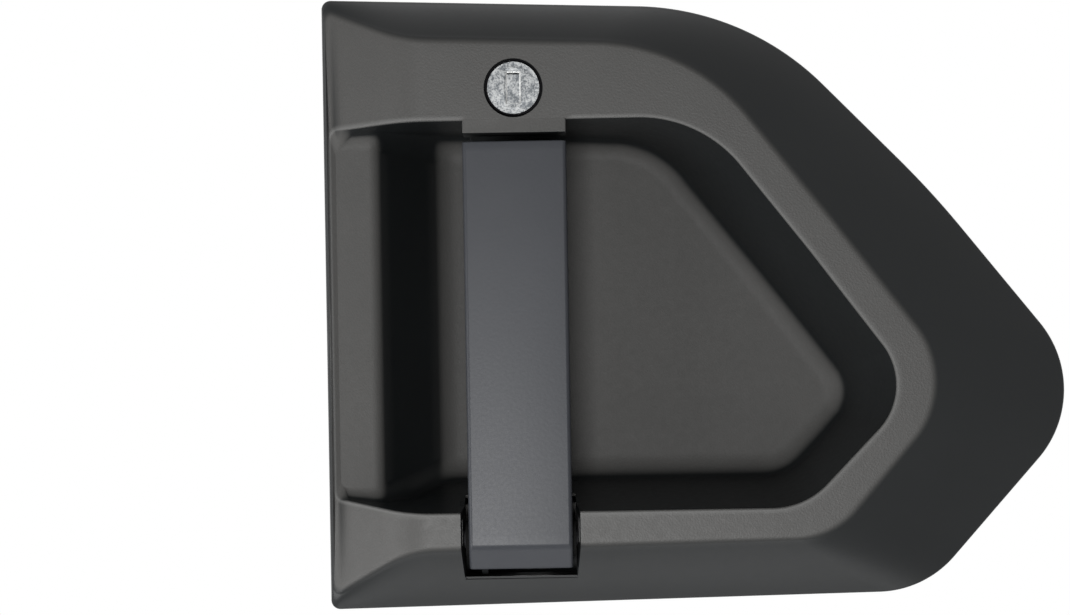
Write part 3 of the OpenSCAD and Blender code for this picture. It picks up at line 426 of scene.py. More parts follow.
outlineChords = {"left": 8, "top": 36, "belly": 10, "tip": 36, "foot": 24, "stations": 50}


# stations along the ramp as (x, top, foot): the edges run out or in where the ramp is low
def outlineEnds(o, xs, flare, h):
    xs = np.concatenate([[o.left], xs])
    low = 1 - rampRise(xs + h["edgeX"], h)
    return np.stack([xs, o.topAt(xs) + flare[0] * low, o.footAt(xs) - flare[1] * low], axis=-1)


# closed outline: left corners, stations along the ramp, rounded nose
def outlineKnots(o, radii, bulge, ends, h):
    c = outlineChords
    topLine, footLine = ends[:, :2], ends[::-1, ::2]
    tc, fc = o.topCorner(), o.footCorner()
    mid = (tc + o.tip) / 2 + bulge * o.upOut()
    return np.concatenate([
        cornerArc(footLine[-1], topLine[0], topLine[1], radii[0], c["left"]), topLine[1:],
        cornerArc(topLine[-1], tc, mid, radii[1], c["top"]),
        cornerArc(tc, mid, o.tip, h["bellyR"], c["belly"]),
        cornerArc(mid, o.tip, fc, radii[2], c["tip"]),
        cornerArc(o.tip, fc, footLine[0], radii[3], c["foot"]), footLine[:-1],
        cornerArc(footLine[-2], footLine[-1], topLine[0], radii[0], c["left"])])


# bed of the bowl along x: flat shelf, roll, sloping wall, fillet and floor, set back by off
class BowlBed:
    def __init__(self, h, rollX, floorX, floorY):
        self.rollX, self.floorX, self.floorY, self.shelfY = rollX, floorX, floorY, -h["shelfH"]
        self.roll, self.fillet = h["rollR"], h["floorR"]
        dx, dy = floorX - rollX, floorY - self.fillet - self.shelfY - self.roll
        self.steep = math.atan2(dy, dx) + math.asin((self.roll + self.fillet) / math.hypot(dx, dy))

    def at(self, x, off=0.0):
        r, b = self.roll - off, self.fillet + off
        u, v = x - self.rollX, self.floorX - x
        rollY, filletY = self.shelfY + self.roll, self.floorY - self.fillet
        s = math.sin(self.steep)
        slope = rollY - r * math.cos(self.steep) + (u - r * s) * math.tan(self.steep)
        return np.select(
            [u <= 0, v <= 0, u <= r * s, v <= b * s],
            [self.shelfY + off + 0 * x, self.floorY + off + 0 * x,
             rollY - np.sqrt(np.maximum(r * r - u * u, 0)),
             filletY + np.sqrt(np.maximum(b * b - v * v, 0))], slope)

    def stops(self, off, count):
        a = self.steep * np.linspace(0, 1, count)
        low = self.rollX + (self.roll - off) * np.sin(a)
        high = self.floorX - (self.fillet + off) * np.sin(a[::-1])
        return np.concatenate([low, np.linspace(low[-1], high[0], count)[1:-1], high])


# adds points on long straight runs, as many in every outline
def densify(loops, guide, spacing):
    gap = np.linalg.norm(np.roll(guide, -1, axis=0) - guide, axis=1)
    count = np.maximum(1, np.ceil(gap / spacing).astype(int))
    at = np.repeat(np.arange(len(guide)), count)
    first = np.concatenate([[0], np.cumsum(count)[:-1]])
    share = (np.arange(len(at)) - first[at]) / count[at]
    after = (at + 1) % len(guide)
    return [p[at] + (p[after] - p[at]) * share[:, None] for p in loops]


def lift(points, y):
    y = np.broadcast_to(y, points.shape[:1])
    return np.stack([points[:, 0], y, points[:, 1]], axis=-1)


def between(first, last, count):
    t = np.linspace(0, 1, count + 2)[1:-1, None, None]
    return first + (last - first) * t


# soft corner at b between a and c: a parabola that leaves both straights at distance s
def softCorner(a, b, c, s, count):
    u, v = a - b, c - b
    lu, lv = np.linalg.norm(u, axis=-1, keepdims=True), np.linalg.norm(v, axis=-1, keepdims=True)
    s = np.minimum(s, np.minimum(0.45 * lu, 0.45 * lv))
    p, q = b + u / lu * s, b + v / lv * s
    t = np.linspace(0, 1, count)[:, None, None]
    return (1 - t) ** 2 * p + 2 * t * (1 - t) * b + t ** 2 * q


# rings of the moulding from the bowl floor out over rim and border, and back behind them to the floor
def housingRings(h):
    rimY = -h["rimH"]
    floorY = rimY + h["bowlD"]
    soleY = -h["gasket"]
    wall = h["wall"]
    noseTip = (h["noseLen"] - h["edgeX"], -h["noseDrop"])
    outer = NoseOutline(-h["edgeX"], h["edgeH"] / 2, -h["topFall"], noseTip,
                        h["noseUp"], h["noseLow"], -h["edgeH"] / 2, h["footRise"])
    crestTurns = (-h["topFall"], *h["crestAngles"], h["footRise"])
    crest = outer.inside(-h["edgeX"] + h["edgeSoft"], h["border"], *crestTurns)
    soleLeft = -h["edgeX"] + h["soleW"]
    mouthLeft = -h["edgeX"] + h["lipLeft"]
    mouth = crest.inside(mouthLeft, h["rim"], 0, *h["bowlAngles"], 0)
    floor = mouth.inside(mouthLeft + h["shelfRun"], h["bowlRun"], 0, *h["bowlAngles"], 0)
    inner = floor.inside(floor.left + 4, (14, 8, 8, 14), 0, *h["bowlAngles"], 0)
    bed = BowlBed(h, mouthLeft + h["shelfW"], floor.left, floorY)
    sole = outer.inside(soleLeft, [h["soleW"]] * 4, -h["topFall"], h["noseUp"], h["noseLow"], h["footRise"])
    crestBack = crest.inside(soleLeft + h["lipStep"], [wall / 2] * 4, *crestTurns)
    run = np.linspace(0, 1, outlineChords["stations"])
    rimXs = soleLeft + 3.4 + 36.0 * run
    innerXs = inner.left + h["innerR"][0] + 1 + 10 * run
    flare = (h["border"][0], h["border"][3])
    # foot of the wall on the bed: its run grows from the shelf down to the floor
    footXs = np.concatenate([[mouthLeft + h["lipLeft"]], rimXs])
    deep = (bed.at(footXs) + h["shelfH"]) / (floorY + h["shelfH"])
    runs = [h["shelfIn"] + (full - h["shelfIn"]) * deep for full in (h["bowlRun"][0], h["bowlRun"][3])]
    footEnds = np.stack([footXs, mouth.top - runs[0], mouth.foot + runs[1]], axis=-1)

    def outline(o, radii, bulge, flare):
        return outlineKnots(o, radii, bulge, outlineEnds(o, rimXs, flare, h), h)

    knots = [outline(outer, h["outerR"], h["belly"], (0, 0)),
             outline(crest, h["crestR"], h["flatBelly"], flare),
             outline(mouth, h["mouthR"], h["flatBelly"], h["lipIn"]),
             outlineKnots(floor, h["footR"], h["flatBelly"], footEnds, h),
             outlineKnots(inner, h["innerR"], h["flatBelly"], outlineEnds(inner, innerXs, (0, 0), h), h),
             outline(sole, tuple(np.array(h["outerR"]) - 1), h["belly"], (0, 0)),
             outline(crestBack, h["crestR"], h["flatBelly"], flare)]
    outerP, crestP, mouthP, footP, innerP, soleP, backP = densify(knots, knots[0], 2.4)

    def rise(p):
        return rampRise(p[:, 0] + h["edgeX"], h)

    def rimLevel(p, left, soft):
        low = h["lowH"] / h["rimH"]
        return rimY * (low + (rise(p) - low) * np.minimum(1, (p[:, 0] - left) / soft))

    mouthY = rimLevel(mouthP, mouthLeft, h["mouthR"][0])
    crestY = rimY * rise(crestP)
    backY = rimLevel(backP, crestBack.left, h["crestR"][0]) + wall

    # wall section: lip arc, straight, floor fillet
    across = footP - mouthP
    length = np.linalg.norm(across, axis=1)
    footY = bed.at(footP[:, 0])
    sunk = bed.at(footP[:, 0], wall) - footY - wall
    depth = footY - mouthY
    lip = np.minimum(h["lipR"], 0.3 * depth)
    fillet = np.minimum(h["floorR"], np.minimum(0.75 * length, 0.9 * depth))
    rest = depth - lip - fillet
    steep = np.arctan2(rest, length) + np.arcsin(np.minimum(1, (lip + fillet) / np.hypot(length, rest)))

    def wallRing(s, t):
        p = mouthP + across / length[:, None] * s[:, None]
        return lift(p, mouthY + t)

    def lipRing(t):
        return wallRing(lip * np.sin(steep * t), lip * (1 - np.cos(steep * t)))

    def filletRing(t, off):
        a = steep * (1 - t)
        return wallRing(length - (fillet + off) * np.sin(a), depth - fillet + (fillet + off) * np.cos(a))

    def lipBackRing(t):
        a = lip - wall
        foot = np.stack([a * np.sin(steep), lip - a * np.cos(steep)])
        tip = foot - np.stack([np.cos(steep), np.sin(steep)]) * (foot[1] - wall) / np.sin(steep)
        end = np.stack([length - (fillet + wall) * np.sin(steep),
                        depth - fillet + (fillet + wall) * np.cos(steep)])
        return wallRing(*(tip + (end - tip) * t * 0.4))

    # rings behind the moulding stay right of the sole
    def keepRight(ring, step):
        return np.concatenate([np.maximum(ring[:, :1], soleLeft + step * h["lipStep"]), ring[:, 1:]], axis=1)

    # rings along the bed from the wall's foot to the middle of the floor
    def bedRings(feet, off):
        xs = bed.stops(off, 7)[:, None]
        k = np.arange(1, len(xs) + 1)[:, None]
        x0, x1 = feet[:, 0], innerP[:, 0]
        t = np.clip((xs - x0) / (x1 - x0), 0.004 * k, 1 - 0.004 * (len(xs) + 1 - k))
        t = np.where(x0 >= floor.left, k / (len(xs) + 1), t)
        x = x0 + (x1 - x0) * t
        return np.stack([x, bed.at(x, off), feet[:, 2] + (innerP[:, 1] - feet[:, 2]) * t], axis=-1)

    outerEdge = lift(outerP, soleY - h["landH"])
    outerFoot = lift(outerP, soleY)
    crestEdge, mouthEdge = lift(crestP, crestY), lift(mouthP, mouthY)
    crestRows = softCorner(mouthEdge, crestEdge, outerEdge, h["crestSoft"], 13)
    edgeRows = softCorner(crestRows[-1], outerEdge, outerFoot, 0.9, 6)
    border = between(crestRows[-1], edgeRows[0], 16)
    # the border swells a little between crest and edge
    e = edgeRows[0] - crestRows[-1]
    flat = np.hypot(e[:, 0], e[:, 2])
    slant = np.linalg.norm(e, axis=1)
    normal = np.stack([e[:, 0] * e[:, 1] / flat, -flat, e[:, 2] * e[:, 1] / flat], axis=-1) / slant[:, None]
    u = np.linspace(0, 1, 18)[1:-1, None, None]
    border = border + normal * (4 * u * (1 - u)) * (h["borderCrown"] * np.minimum(1, flat / 14))[:, None]
    fillets = np.stack([filletRing(t, 0) for t in np.linspace(1, 0, 15)])
    lips = np.stack([lipRing(t) for t in np.linspace(1, 0, 12)])
    rimStart = lips[-1] + (crestRows[0] - lips[-1]) * 0.04
    backLips = np.stack([keepRight(lipBackRing(k / 2), k + 2) for k in range(3)])
    sink = np.stack([0 * sunk, sunk, 0 * sunk], axis=-1)
    backFillets = np.stack([keepRight(filletRing(k / 8, wall) + sink * k / 8, k / 2 + 5) for k in range(9)])
    rings = np.concatenate([
        lift(innerP, floorY)[None], bedRings(fillets[0], 0.0)[::-1], fillets,
        between(fillets[-1], lips[0], 14), lips, rimStart[None], between(rimStart, crestRows[0], 7),
        crestRows, border, edgeRows, outerFoot[None], lift(soleP, soleY)[None],
        lift(backP, backY)[None], backLips, between(backLips[-1], backFillets[0], 6), backFillets,
        bedRings(backFillets[-1], wall), lift(innerP, floorY + wall)[None]])
    return rings, crestEdge, mouthEdge, mouth, crest


# block with a rounded outline and front edge: rounded rectangles that grow over a quarter circle
def softBlock(name, low, high, cornerR, frontR):
    t = np.linspace(0, math.pi / 2, 7)
    a = np.linspace(0, 2 * math.pi, 48, endpoint=False)
    shift = np.sign(np.round(np.stack([np.cos(a + 1e-6), np.sin(a + 1e-6)], axis=-1), 5))
    centre = np.array([(low[0] + high[0]) / 2, (low[2] + high[2]) / 2])
    half = np.array([(high[0] - low[0]) / 2, (high[2] - low[2]) / 2])

    def ring(inset, y):
        r = max(cornerR - inset, 0.05)
        p = centre + shift * (half - inset - r) + r * np.stack([np.cos(a), np.sin(a)], axis=-1)
        return lift(p, y)

    rows = [ring(frontR * (1 - math.sin(k)), low[1] + frontR * (1 - math.cos(k))) for k in t]
    rows.append(ring(0.0, high[1]))
    return closedLoft(name, np.stack(rows))


# rod along Y: radii and levels of a lathe profile turned about (x, z)
def latheY(name, at, profile, count=64):
    a = np.linspace(0, 2 * math.pi, count, endpoint=False)
    r, y = np.array(profile, dtype=float).T
    ring = np.stack([at[0] + r[:, None] * np.cos(a), np.broadcast_to(y[:, None], (len(r), count)),
                     at[1] + r[:, None] * np.sin(a)], axis=-1)
    return closedLoft(name, ring)


# prism along X of a (y, z) outline
def prismX(name, x0, x1, outline):
    yz = np.array(outline, dtype=float)
    rows = [np.concatenate([np.full((len(yz), 1), x), yz], axis=1) for x in (x0, x1)]
    return closedLoft(name, np.stack(rows))


def cut(piece, *cutters):
    for tool in cutters:
        step = piece.modifiers.new("cut", "BOOLEAN")
        step.operation = "DIFFERENCE"
        step.solver = "EXACT"
        step.object = tool
    applyAll(piece)


def applyAll(piece):
    shown = piece.evaluated_get(bpy.context.evaluated_depsgraph_get())
    made = bpy.data.meshes.new_from_object(shown)
    piece.modifiers.clear()
    piece.data = made


def drop(*pieces):
    for piece in pieces:
        bpy.data.objects.remove(piece)


def joinInto(piece, *others):
    work = bmesh.new()
    work.from_mesh(piece.data)
    for other in others:
        work.from_mesh(other.data)
    work.to_mesh(piece.data)
    work.free()
    drop(*others)


# places that several pieces share, in millimetres
lockAt = (0.0, 69.866)
hingeAt = (-11.0, -77.837)
leverAt = (32.0, -59.837)
housingParts = {
    "notchX": (19.6, 18.4), "notchD": 9.0, "notchZ": -90.34, "notchTop": -60.5, "notchEdge": 0.8,
    "pocketY": 3.0, "crankSlot": (-2.0, 10.0), "springSeat": ((-13.2, -5.9), (-11.0, -81.84)),
    "cheekX": 21.4, "gripHalf": 17.0, "tabLow": 55.17, "tabTop": 62.0, "bossR": 12.4, "bossEnd": 2.0,
    "ledges": ((15.0, -1.2, 7.8, 38.57, 50.57), (15.0, 4.8, 7.8, 38.57, 59.57)),
    "boreR": 9.48, "studs": ((45.0, 73.0), (45.0, -76.0), (-45.0, 73.0), (-45.0, -76.0)), "studBossR": 5.5,
    "smoothAndShade": (((-15.5, -1.6, 36.0), (15.5, 9.0, 60.0)), ((-19.7, -10.0, -91.5), (19.7, 8.0, -66.0))),
    "carrier": ((26.0, -41.837), (64.0, -41.837), (45.0, -17.837)), "carrierBossR": 4.5, "plateY": 36.0,
    "steepFade": (0.55, 0.30), "grainSoft": 1.2, "bowlSoft": 1.0, "lipHighlightSoft": 0.8, "lipHighlightBack": -3.0,
    "tabZone": (17.3, 50.0),
}


# soft switch from 0 outside a closed line to 1 inside it, from the nearest distance to the line
def insideMask(points, line, soft):
    p = points[:, [0, 2]]
    a, b = line, np.roll(line, -1, axis=0)
    d = b - a
    best = np.full(len(p), 1e9)
    inside = np.zeros(len(p), dtype=bool)
    batch = 4000
    for first in range(0, len(p), batch):
        part = slice(first, first + batch)
        q = p[part, None, :]
        t = np.clip(((q - a) * d).sum(-1) / (d * d).sum(-1), 0, 1)
        best[part] = np.linalg.norm(q - a - d * t[..., None], axis=-1).min(axis=1)
        over = (a[:, 1] > q[..., 1]) != (b[:, 1] > q[..., 1])
        x = a[:, 0] + (q[..., 1] - a[:, 1]) * d[:, 0] / np.where(d[:, 1] == 0, 1e-9, d[:, 1])
        inside[part] = (over & (q[..., 0] < x)).sum(axis=1) % 2 == 1
    signed = np.where(inside, best, -best)
    t = np.clip((signed + soft) / (2 * soft), 0, 1)
    return t * t * (3 - 2 * t)


def paint(mesh, name, shares):
    layer = mesh.attributes.new(name, "FLOAT", "POINT")
    layer.data.foreach_set("value", shares.astype(np.float32))


def makeHousing(h, g):
    rings, crestLine, mouthLine, mouth, crest = housingRings(h)
    rings = np.clip(rings, np.array(cadLow) / mm, np.array(cadHigh) / mm)
    shell = closedLoft("housing_moulding", rings)
    rimY, wall = -h["rimH"], h["wall"]
    slope = (h["rimH"] - h["gasket"] - h["landH"]) / h["border"][3]
    crestFoot = crest.footAt(0)
    pocket = prismX("pocket", -g["cheekX"], g["cheekX"], [
        (rimY + 4, mouth.foot - 1), (rimY + 4, crestFoot - 0.5),
        (rimY + 4 + slope * (crestFoot - g["notchZ"] + wall), g["notchZ"] - wall),
        (g["pocketY"] + wall, g["notchZ"] - wall), (g["pocketY"] + wall, mouth.foot + 5)])
    # notch: an outline in plan, drawn in behind the rim, carried upwards; its lower edge is broken
    wide, narrow = g["notchX"]
    wide += (wide - narrow) / g["notchD"]
    plan = np.array([(-wide, rimY - 1), (wide, rimY - 1), (narrow, rimY + g["notchD"]),
                     (narrow, g["pocketY"]), (-narrow, g["pocketY"]), (-narrow, rimY + g["notchD"])])
    notch = closedLoft("notch", np.stack([np.c_[plan, np.full(6, z)] for z in (g["notchZ"], g["notchTop"])]))
    edgeY = rimY + slope * (crestFoot - g["notchZ"])
    k = g["notchEdge"]
    upper, lower = g["notchZ"] + 0.02, g["notchZ"] - k
    broken = prismX("broken", -narrow, narrow, [(edgeY + k, upper), (edgeY + slope * k, lower),
                                                (edgeY - 3, lower), (edgeY - 3, upper)])
    slotLeft, slotRight = g["crankSlot"]
    slot = softBlock("slot", (slotLeft, 0, g["notchZ"] + 1),
                     (slotRight, g["pocketY"] + wall + 1, mouth.foot + 1), 0.8, 0.2)
    bore = latheY("bore", lockAt, [(g["boreR"] + 1.2, rimY - 1), (g["boreR"] + 0.2, rimY),
                                   (g["boreR"], rimY + 0.3), (g["boreR"], 16.0)], 96)
    cut(shell, notch, broken, slot, bore)
    cut(pocket, notch, broken, slot)
    half = g["gripHalf"]
    tab = softBlock("tab", (-half, rimY + 0.02, g["tabLow"]), (half, 0.8, g["tabTop"]), 0.5, 0.5)
    cut(tab, bore)
    ledges = [softBlock("ledge", (-x, y0, z0), (x, y1, z1), 1.5, 0.6) for x, y0, y1, z0, z1 in g["ledges"]]
    boss = latheY("boss", lockAt, [(g["boreR"] - 1, rimY + 1.5), (g["bossR"], rimY + 1.5),
                                   (g["bossR"], g["bossEnd"] - 0.4), (g["bossR"] - 0.4, g["bossEnd"]),
                                   (g["boreR"] - 1, g["bossEnd"])])
    cut(boss, bore)
    parts = [pocket, tab, boss] + ledges
    for x, z in g["studs"]:
        r = g["studBossR"]
        top = rimY * float(rampRise(np.array(x - r + h["edgeX"]), h)) + wall * 0.9
        parts.append(latheY("studBoss", (x, z), [(r, top), (r, top + 2), (r, -2.1), (r - 0.4, -1.7)]))
    for at in g["carrier"]:
        r = g["carrierBossR"]
        foot = h["bowlD"] + rimY + wall
        parts.append(latheY("carrierBoss", at, [(r, foot - 1), (r + 1.2, foot - 0.1), (r, foot + 1.2),
                                                (r, g["plateY"] - 0.3), (r - 0.3, g["plateY"])]))
    parts += makeRibs(h, mouth, crest)
    (seatLeft, seatFront), (seatRight, seatTop) = g["springSeat"]
    parts.append(softBlock("springSeat", (seatLeft, seatFront, g["notchZ"] - 1),
                           (seatRight, g["pocketY"] + 1, seatTop), 0.3, 0.3))
    drop(notch, broken, slot, bore)
    joinInto(shell, *parts)
    mesh = shell.data
    at = np.empty(len(mesh.vertices) * 3, dtype=np.float32)
    mesh.vertices.foreach_get("co", at)
    at = at.reshape(-1, 3) / mm
    # steep walls take the smooth finish, as from the mould, and its darker colour there is also painted
    # shade;
    # the places behind the bar are matt and take the same dark colour as painted shade
    facing = np.empty(len(mesh.vertices) * 3, dtype=np.float32)
    mesh.vertex_normals.foreach_get("vector", facing)
    fadeFrom, fadeOver = g["steepFade"]
    textured = np.clip((-facing[1::3] - fadeFrom) / fadeOver, 0, 1)
    # matt: places behind the bar, rougher and painted with the dark smooth colour as shade
    matt = np.zeros(len(at))
    for low, high in g["smoothAndShade"]:
        matt = np.maximum(matt, np.all((at > low) & (at < high), axis=1))
    textured = textured * (1 - matt)
    paint(mesh, "matt", matt)
    paint(mesh, "grain", insideMask(at, crestLine[:, [0, 2]], g["grainSoft"]) * textured)
    paint(mesh, "bowl", insideMask(at, mouthLine[:, [0, 2]], g["bowlSoft"]) * textured)
    # painted highlight: a thin light band either side of the bowl's mouth line, in front, left off the tab
    lipHighlightBand = insideMask(at, mouthLine[:, [0, 2]], g["lipHighlightSoft"])
    onTab = (np.abs(at[:, 0]) < g["tabZone"][0]) & (at[:, 2] > g["tabZone"][1])
    paint(mesh, "lip", 4 * lipHighlightBand * (1 - lipHighlightBand) * (at[:, 1] < g["lipHighlightBack"]) * ~onTab)
    smoothBy(shell, 28)
    dress(shell, "housing_body", "black_moulding", "housing")


# stiffening ribs behind the rim, square to the bowl's edge
def makeRibs(h, mouth, crest):
    rimY, wall, soleY = -h["rimH"], h["wall"], -h["gasket"]
    topEnd, footEnd = mouth.topCorner(), mouth.footCorner()
    places = [((x, mouth.top), (0, 1), crest.topAt(x) - mouth.top, h["border"][0]) for x in (-24, 24)]
    places += [(topEnd + (mouth.tip - topEnd) * t, mouth.upOut(), h["rim"][1], h["border"][1])
               for t in (0.45, 0.75)]
    places += [((footEnd + mouth.tip) / 2, mouth.lowOut(), h["rim"][2], h["border"][2])]
    places += [((x, mouth.foot), (0, -1), mouth.foot - crest.footAt(x), h["border"][3]) for x in (30, 64)]
    made = []
    for p, d, rimW, borderW in places:
        reach = rimW + borderW - h["soleW"] - 0.7
        rib = prismX("rib", -1, 1, [(rimY + wall / 2, wall / 2), (rimY + wall / 2, rimW + 0.7),
                                    (soleY - 3.5, reach), (soleY - 2.5, reach), (soleY - 2.5, -wall / 2)])
        turn = Matrix.Rotation(math.atan2(d[0], d[1]), 4, "Y")
        rib.data.transform(Matrix.Translation((p[0] * mm, 0, p[1] * mm)) @ turn)
        made.append(rib)
    return made


makeHousing(housingShape, housingParts)


# grab bar: a rounded rectangle carried upwards, with a slanted heel and soft ends
barShape = {"half": 17.0, "front": -21.0, "back": -5.0, "frontR": 1.4, "backR": 3.0, "top": 52.566,
            "heelTop": -80.337, "heelZ": -87.737, "heelY": -14.49, "heelSoft": 1.4, "endR": 0.5,
            "coverHalf": 14.0, "coverLow": -65.84, "coverTop": 49.57, "coverT": 3.0}


def makeBar(b):
    # front level: straight face, parabola at the heel, slanted end
    slope = (b["heelY"] - b["front"]) / (b["heelTop"] - b["heelZ"])
    s = b["heelSoft"]
    z = np.concatenate([np.linspace(b["heelZ"], b["heelTop"] - s, 12),
                        np.linspace(b["heelTop"] - s, b["heelTop"] + s, 14)[1:],
                        np.linspace(b["heelTop"] + s, b["top"], 40)[1:]])
    # ends: the section shrinks over a quarter circle
    t = np.linspace(0, math.pi / 2, 7)[:-1]
    r = b["endR"]
    z = np.concatenate([b["heelZ"] + r * (1 - np.cos(t)), z[z > b["heelZ"] + r + 0.05], [b["top"] - r]])
    z = np.unique(np.round(z[z <= b["top"] - r], 5))
    z = np.concatenate([z, b["top"] - r + r * np.sin(np.linspace(0, math.pi / 2, 7)[1:])])
    down = b["heelTop"] - z
    front = b["front"] + slope * np.where(down > s, down, np.where(down < -s, 0, (down + s) ** 2 / (4 * s)))
    low = np.clip(1 - (z - b["heelZ"]) / r, 0, 1)
    high = np.clip(1 - (b["top"] - z) / r, 0, 1)
    inset = r * (1 - np.sqrt(1 - low ** 2)) + r * (1 - np.sqrt(1 - high ** 2))
    # rounded rectangle: each corner is an arc about its own centre
    a = np.linspace(0, math.pi / 2, 12)
    corners = []
    sides = ((1, 1, b["backR"]), (-1, 1, b["backR"]), (-1, -1, b["frontR"]), (1, -1, b["frontR"]))
    for quarter, (sx, sy, radius) in enumerate(sides):
        angle = a + quarter * math.pi / 2
        x = sx * (b["half"] - inset[:, None] - radius) + radius * np.cos(angle)
        edge = np.where(sy > 0, b["back"] - inset, front + inset)[:, None]
        y = edge - sy * radius + radius * np.sin(angle)
        corners.append(np.stack([x, y, np.broadcast_to(z[:, None], x.shape)], axis=-1))
    bar = closedLoft("grab_bar", np.concatenate(corners, axis=1))
    seat = softBlock("seat", (-b["coverHalf"], b["back"] - b["coverT"], b["coverLow"]),
                     (b["coverHalf"], b["back"] + 2, b["coverTop"]), 0.4, 0.1)
    cut(bar, seat)
    drop(seat)
    smoothBy(bar, 30)
    dress(bar, "grip", "satin_grey", "grip_front")


makeBar(barShape)


# torsion springs: a round wire carried along a helix that ends in two straight legs
returnSpring = {"centre": (-12.75, *hingeAt), "axis": (1, 0, 0), "first": (0, 1, 0), "r": 4.5,
                "wire": 0.6, "turns": 5.0, "pitch": 1.5, "legs": (9.0, 10.0), "start": 0.0}
leverSpring = {"centre": (leverAt[0], 42.8, leverAt[1]), "axis": (0, 1, 0), "first": (1, 0, 0), "r": 4.6,
               "wire": 0.5, "turns": 2.25, "pitch": 1.15, "legs": (15.0, 15.0), "start": 0.0}


def makeSpring(name, s, body, node):
    axis, first = np.array(s["axis"], dtype=float), np.array(s["first"], dtype=float)
    second = np.cross(axis, first)
    turn = s["start"] + np.linspace(0, 2 * math.pi * s["turns"], int(40 * s["turns"]) + 1)
    coil = (np.array(s["centre"]) + s["r"] * (np.cos(turn)[:, None] * first + np.sin(turn)[:, None] * second)
            + (s["pitch"] * (turn - s["start"]) / (2 * math.pi))[:, None] * axis)
    tangent = -np.sin(turn)[:, None] * first + np.cos(turn)[:, None] * second
    lead = coil[0] - tangent[0] * s["legs"][0] * np.linspace(1, 0, 8)[:-1, None]
    tail = coil[-1] + tangent[-1] * s["legs"][1] * np.linspace(0, 1, 8)[1:, None]
    path = np.concatenate([lead, coil, tail])
    ahead = np.gradient(path, axis=0)
    ahead /= np.linalg.norm(ahead, axis=1, keepdims=True)
    side = np.cross(ahead, axis)
    side /= np.linalg.norm(side, axis=1, keepdims=True)
    up = np.cross(side, ahead)
    a = np.linspace(0, 2 * math.pi, 14, endpoint=False)[None, :, None]
    rings = path[:, None, :] + s["wire"] * (np.cos(a) * side[:, None, :] + np.sin(a) * up[:, None, :])
    spring = closedLoft(name, rings)
    smoothBy(spring, 40)
    dress(spring, body, "spring_steel", node)


# studs: a thread whose radius follows height less the turn, like a triangle wave
studShape = {"root": 3.6, "foot": -10.2, "face": -1.7, "r": 3.0, "tip": 18.0, "pitch": 1.0, "depth": 0.42}


def makeStuds(s, places):
    y = np.concatenate([[s["foot"], s["foot"] + 0.3, s["face"], s["face"] + 0.01],
                        np.linspace(s["face"] + 0.02, s["tip"], 260)])
    a = np.linspace(0, 2 * math.pi, 40, endpoint=False)
    wave = np.abs(((y[:, None] / s["pitch"] - a / (2 * math.pi)) % 1.0) - 0.5) * 2
    runIn = np.clip((y - s["face"] - 1.2) / 0.8, 0, 1)[:, None]
    chamfer = np.clip((y - s["tip"] + 0.8) / 0.8, 0, 1)[:, None]
    r = s["r"] - s["depth"] * wave * runIn - chamfer * 0.7
    r = np.where(y[:, None] <= s["face"], s["root"], r)
    studs = []
    for x, z in places:
        level = np.broadcast_to(y[:, None], r.shape)
        rings = np.stack([x + r * np.cos(a), level, z + r * np.sin(a)], axis=-1)
        studs.append(closedLoft("mounting_stud_set", rings))
    joinInto(*studs)
    smoothBy(studs[0], 40)
    dress(studs[0], "housing_body", "zinc_steel", "mounting_studs")


# lock cap: a disc that runs from the rectangular window to the round edge, crowned, with a rolled rim
lockCap = {"r": 8.42, "half": (2.05, 5.05), "y": -20.66, "thick": 1.5, "crown": 0.16, "roll": 0.55,
           "bevel": 0.1, "flap": -20.37, "lift": 0.03, "dish": 0.6, "highlightAt": 0.15, "highlightWide": 0.25,
           "steps": 160}


def makeLockCap(c):
    n = c["steps"]
    a = np.linspace(0, 2 * math.pi, n, endpoint=False)
    cosA, sinA = np.cos(a), np.sin(a)
    window = np.minimum(c["half"][0] / np.maximum(np.abs(cosA), 1e-6),
                        c["half"][1] / np.maximum(np.abs(sinA), 1e-6))
    t = np.linspace(0, 1, 26)[:, None]
    edge = c["r"] - c["roll"]
    r = window + (edge - window) * t
    y = c["y"] - c["crown"] * (1 - (r / c["r"]) ** 2)
    # the face dips to the flap at the window
    y = y + (c["flap"] - c["lift"] - y) * np.exp(-((r - window) / c["dish"]) ** 2)
    q = np.linspace(0, math.pi / 2, 8)[1:, None]
    rollR = np.broadcast_to(edge + c["roll"] * np.sin(q), (len(q), n))
    rollY = np.broadcast_to(y[-1] + c["roll"] * (1 - np.cos(q)), (len(q), n))
    inner = window - c["bevel"] * np.array([[1.0], [1.0], [0.15]])
    back = np.full((1, n), c["y"] + c["thick"])
    innerY = np.stack([back[0], np.full(n, c["flap"]), y[0] + c["lift"]])
    r = np.concatenate([inner, r, rollR, np.full((1, n), c["r"]), inner[:1]])
    y = np.concatenate([innerY, y, rollY, back, back])
    rings = np.stack([lockAt[0] + r * cosA, y, lockAt[1] + r * sinA], axis=-1)
    rows, cols = rings.shape[:2]
    cap = turnOut(addMesh("lock_cap", rings, gridFaces(rows, cols)))
    at = np.empty(len(cap.data.vertices) * 3, dtype=np.float32)
    cap.data.vertices.foreach_get("co", at)
    at = np.abs(at.reshape(-1, 3) / mm - np.array([lockAt[0], 0, lockAt[1]]))[:, [0, 2]]
    out = np.max(at - np.array(c["half"]), axis=1)
    # painted highlight: a light band just outside the edges of the window
    paint(cap.data, "windowHighlight", np.exp(-((out - c["highlightAt"]) / c["highlightWide"]) ** 2))
    smoothBy(cap, 35)
    dress(cap, "lock_rotor", "lock_chrome")


makeSpring("return_coil", returnSpring, "housing_body", "return_spring")
makeSpring("lever_coil", leverSpring, "housing_body", "lever_spring")
makeStuds(studShape, housingParts["studs"])
makeLockCap(lockCap)


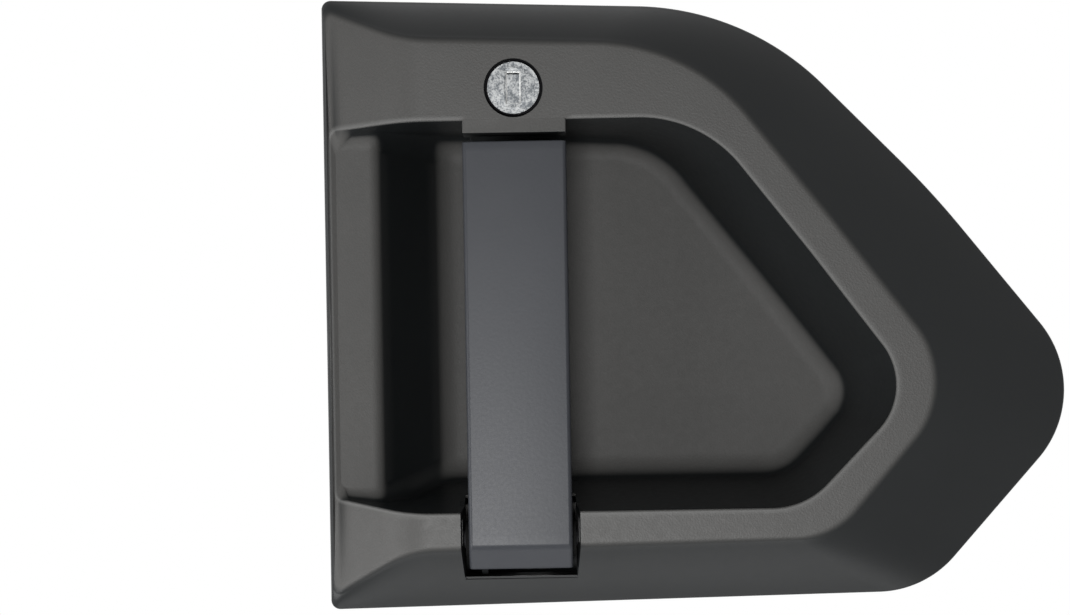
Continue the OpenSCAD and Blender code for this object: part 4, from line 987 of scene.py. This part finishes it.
# stage: pale floor, soft lamps, white surroundings for the camera
stageSet = {"floorZ": -0.80, "floorSize": 12.0, "worldLevel": 0.07}
lamps = {
    "frontBox": {"place": (-0.10, -1.20, -0.26), "aim": (0.0, 0.0, -0.05), "size": (0.26, 0.20),
                 "power": 12.5},
    "leftBox": {"place": (-0.60, -0.40, -0.22), "aim": (0.0, 0.0, -0.02), "size": (0.45, 0.45), "power": 4.6},
    "lowGlow": {"place": (0.03, -0.10, -0.62), "aim": (0.03, -0.02, 0.0), "size": (0.7, 0.3), "power": 1.2},
    "backGlow": {"place": (0.0, 0.7, 0.5), "aim": (0.0, 0.0, 0.08), "size": (1.2, 0.5), "power": 0.8},
}


# rays for which the surroundings are white
def seenRays(shade):
    camera, glossy, through = [shade.node("ShaderNodeLightPath", {}, {}, f"Is {kind} Ray")
                               for kind in ("Camera", "Glossy", "Transmission")]
    return camera.top(glossy).top(through)


def makeStage(s):
    half = s["floorSize"] / 2
    at = np.array([[-half, -half, s["floorZ"]], [half, -half, s["floorZ"]], [half, half, s["floorZ"]],
                   [-half, half, s["floorZ"]]]) / mm
    floor = addMesh("paleFloor", at, [(0, 1, 2, 3)])
    made, s = startMaterial("palePaper")
    far = s.node("ShaderNodeVectorMath", {"operation": "LENGTH"}, {0: objectPlace(s)}, "Value")
    away = far.step(0.9, 1.6)
    matt = s.node("ShaderNodeBsdfDiffuse", {}, {"Color": (0.82, 0.82, 0.82, 1.0)})
    white = s.node("ShaderNodeEmission", {}, {"Color": (1.0, 1.0, 1.0, 1.0), "Strength": 1.0})
    mixed = s.node("ShaderNodeMixShader", {}, {0: seenRays(s) * (0.7 + away * 0.3), 1: matt, 2: white})
    s.tree.links.new(mixed.socket, s.socket)
    floor.data.materials.append(made)


def makeLamps(lamps):
    for name, lamp in lamps.items():
        data = bpy.data.lights.new(name, "AREA")
        data.shape = "RECTANGLE"
        data.size, data.size_y = lamp["size"]
        data.energy = lamp["power"]
        light = bpy.data.objects.new(name, data)
        scene.collection.objects.link(light)
        light.location = lamp["place"]
        aim = Vector(lamp["aim"]) - Vector(lamp["place"])
        light.rotation_euler = aim.to_track_quat("-Z", "Y").to_euler()


def makeSurroundings(level):
    world = bpy.data.worlds.new("softSurroundings")
    world.use_nodes = True
    scene.world = world
    tree = world.node_tree
    tree.nodes.clear()
    output = tree.nodes.new("ShaderNodeOutputWorld")
    s = Shade(tree, output.inputs["Surface"])
    strength = level + seenRays(s) * (1.0 - level)
    light = s.node("ShaderNodeBackground", {}, {"Color": (1.0, 1.0, 1.0, 1.0), "Strength": strength})
    tree.links.new(light.socket, s.socket)


makeStage(stageSet)
makeLamps(lamps)
makeSurroundings(stageSet["worldLevel"])
scene.view_settings.view_transform = "Standard"
print("stage: lamps", len(lamps))
